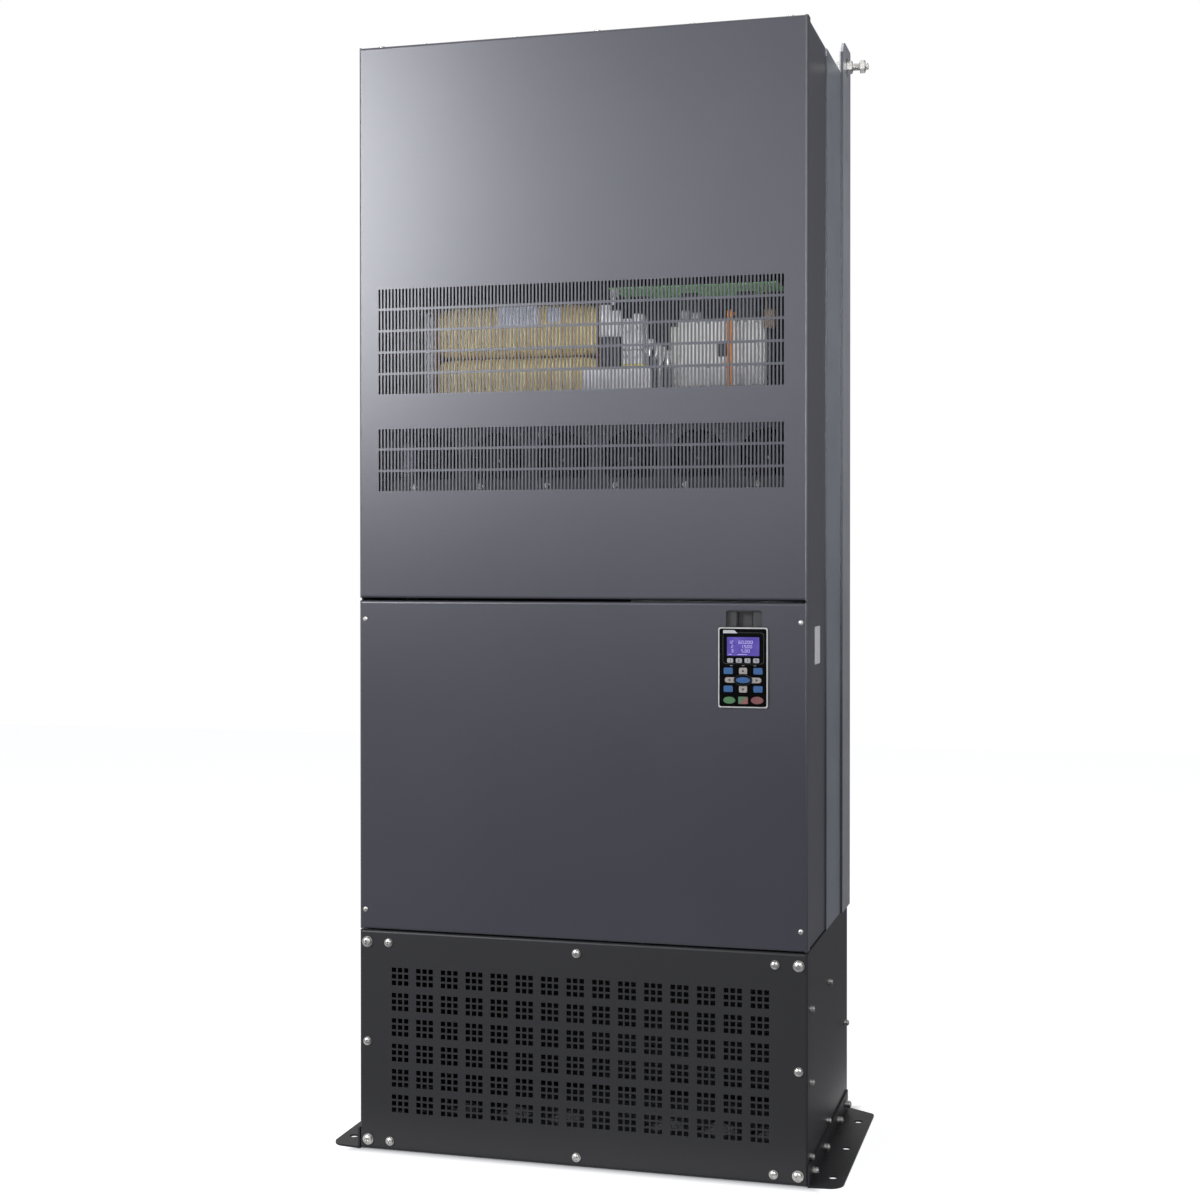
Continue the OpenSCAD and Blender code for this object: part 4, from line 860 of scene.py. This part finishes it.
camera_data = bpy.data.cameras.new("camera")
camera_data.sensor_width = 36
camera_data.lens = 54.57
camera_data.shift_x, camera_data.shift_y = -0.0316667, -0.0241667
camera_data.clip_end = 50
camera = add_object("camera", camera_data)
scene.camera = camera
yaw, pitch = math.radians(14.73), math.radians(0.41)
camera.matrix_world = (Matrix.Translation((0.782, -2.8095, 0.915)) @ Matrix.Rotation(yaw, 4, "Z")
                       @ Matrix.Rotation(math.pi / 2 - pitch, 4, "X"))


def soft_box(name, place, aim, width, height, watts, tint=(1.0, 1.0, 1.0)):
    """A rectangular lamp turned towards a point."""
    lamp = bpy.data.lights.new(name, "AREA")
    lamp.shape = "RECTANGLE"
    lamp.size, lamp.size_y, lamp.energy, lamp.color = width, height, watts, tint
    item = add_object(name, lamp)
    item.location = place
    item.rotation_euler = (Vector(aim) - Vector(place)).to_track_quat("-Z", "Y").to_euler()


soft_box("window_box", (-1.85, -2.75, 2.05), (-0.2, 0, 1.4), 0.9, 1.3, 98, (0.93, 0.94, 1.0))
soft_box("front_box", (1.9, -3.8, 2.5), (0, 0, 1.1), 2.4, 1.8, 44)
soft_box("right_box", (3.4, -0.6, 2.4), (0, 0, 1.2), 1.2, 1.6, 4)
soft_box("top_box", (0, 0.4, 4.2), (0, 0, 0.8), 2.5, 2.0, 10)
# Two narrow soft lamps, one of them low, show what is behind the grille.
grille_middle = Vector((0.06, -0.1, 1.29))
for name, z, watts in (("grille_lamp_low", 0.3, 420), ("grille_lamp_high", 1.3, 310)):
    lamp = bpy.data.lights.new(name, "SPOT")
    lamp.energy, lamp.spot_size, lamp.spot_blend = watts, math.radians(16), 0.7
    lamp.shadow_soft_size = 0.45
    item = add_object(name, lamp)
    item.location = (0.95, -3.0, z)
    item.rotation_euler = (grille_middle - item.location).to_track_quat("-Z", "Y").to_euler()

# Dark flags, seen only in reflections, stand behind on the right and low in
# front, and lie on the floor, as they do round any glossy product.
flag_mesh = bmesh.new()
upright, flat = math.pi / 2, 0.0
for middle, size, tilt in (((1.7, 1.3, 1.6), (2.6, 3.2), upright), ((1.7, 0.5, 0.004), (2.6, 1.6), flat),
                           ((0.2, -5.0, 0.65), (7.0, 1.3), upright),
                           ((0.2, -2.65, 0.004), (5.0, 4.7), flat)):
    bmesh.ops.create_grid(flag_mesh, x_segments=1, y_segments=1, size=0.5,
                          matrix=Matrix.Translation(middle) @ Matrix.Rotation(tilt, 4, "X")
                          @ Matrix.Diagonal((*size, 1, 1)))
flag_data = bpy.data.meshes.new("reflection_flags")
# The last flag, on the floor in front, is of paler felt.
flag_mesh.faces.ensure_lookup_table()
flag_mesh.faces[-1].material_index = 1
flag_mesh.to_mesh(flag_data)
flag_mesh.free()
flag = add_object("reflection_flags", flag_data)
flag.visible_camera = flag.visible_diffuse = flag.visible_shadow = flag.visible_transmission = False
for name, dark, light in (("dark_felt_flag", "727278", "7e7e84"), ("grey_felt_flag", "a8a8ae", "b4b4b9")):
    felt, flag_place = start_material(name)
    flag_nap = add_node(felt, "ShaderNodeTexNoise", {"Scale": 6.0, "Detail": 2.0},
                        {"Vector": (flag_place, "Object")})
    flag_tone = add_node(felt, "ShaderNodeValToRGB", links={"Fac": (flag_nap, "Fac")})
    set_ramp(flag_tone, [(0.3, dark), (0.7, light)])
    flag_shade = add_node(felt, "ShaderNodeEmission", links={"Color": (flag_tone, "Color")})
    add_node(felt, "ShaderNodeOutputMaterial", links={"Surface": (flag_shade, "Emission")})
    flag_data.materials.append(felt)

world = bpy.data.worlds.new("studio")
scene.world = world
world.use_nodes = True
world.node_tree.nodes.clear()


def backdrop_rays(owner):
    """Picks the rays that see white: the camera's, and those off metal and through glass."""
    rays = add_node(owner, "ShaderNodeLightPath")
    mirrored = add_node(owner, "ShaderNodeMath", operation="MAXIMUM",
                        links={0: (rays, "Is Glossy Ray"), 1: (rays, "Is Transmission Ray")})
    return add_node(owner, "ShaderNodeMath", operation="MAXIMUM",
                    links={0: (rays, "Is Camera Ray"), 1: (mirrored, "Value")})


seen = backdrop_rays(world)
lit = add_node(world, "ShaderNodeBackground", {"Color": (0.9, 0.92, 1.0, 1.0), "Strength": 0.3})
white = add_node(world, "ShaderNodeBackground", {"Color": (1.0, 1.0, 1.0, 1.0), "Strength": 1.0})
pick = add_node(world, "ShaderNodeMixShader",
                links={"Fac": (seen, "Value"), 1: (lit, "Background"), 2: (white, "Background")})
add_node(world, "ShaderNodeOutputWorld", links={"Surface": (pick, "Shader")})

floor_mesh = bmesh.new()
bmesh.ops.create_grid(floor_mesh, x_segments=1, y_segments=1, size=6)
floor_data = bpy.data.meshes.new("floor")
floor_mesh.to_mesh(floor_data)
floor_mesh.free()
floor = add_object("floor", floor_data)
paper, floor_place = start_material("white_floor_paper")
floor_seen = backdrop_rays(paper)
floor_shade = add_node(paper, "ShaderNodeBsdfDiffuse", {"Color": (0.45, 0.45, 0.45, 1.0)})
# The paper glows to white for the camera; below the conduit box the glow fades out as a painted shadow.
floor_side = add_node(paper, "ShaderNodeVectorMath", operation="ABSOLUTE",
                      links={0: (floor_place, "Object")})
floor_past = add_node(paper, "ShaderNodeVectorMath", {1: (0.345, 0.19, 0.0)},
                      {0: (floor_side, "Vector")}, operation="SUBTRACT")
floor_split = add_node(paper, "ShaderNodeSeparateXYZ", links={0: (floor_past, "Vector")})
floor_out = add_node(paper, "ShaderNodeMath", links={0: (floor_split, "X"), 1: (floor_split, "Y")},
                     operation="MAXIMUM")
painted_shadow_fade = add_node(paper, "ShaderNodeMapRange", {"From Max": 0.03, "To Max": 0.85},
                     {"Value": (floor_out, "Value")})
floor_glow = add_node(paper, "ShaderNodeEmission", links={"Strength": (painted_shadow_fade, "Result")})
floor_plus = add_node(paper, "ShaderNodeAddShader",
                      links={0: (floor_shade, "BSDF"), 1: (floor_glow, "Emission")})
floor_pick = add_node(paper, "ShaderNodeMixShader",
                      links={"Fac": (floor_seen, "Value"), 1: (floor_shade, "BSDF"),
                             2: (floor_plus, "Shader")})
add_node(paper, "ShaderNodeOutputMaterial", links={"Surface": (floor_pick, "Shader")})
floor_data.materials.append(paper)
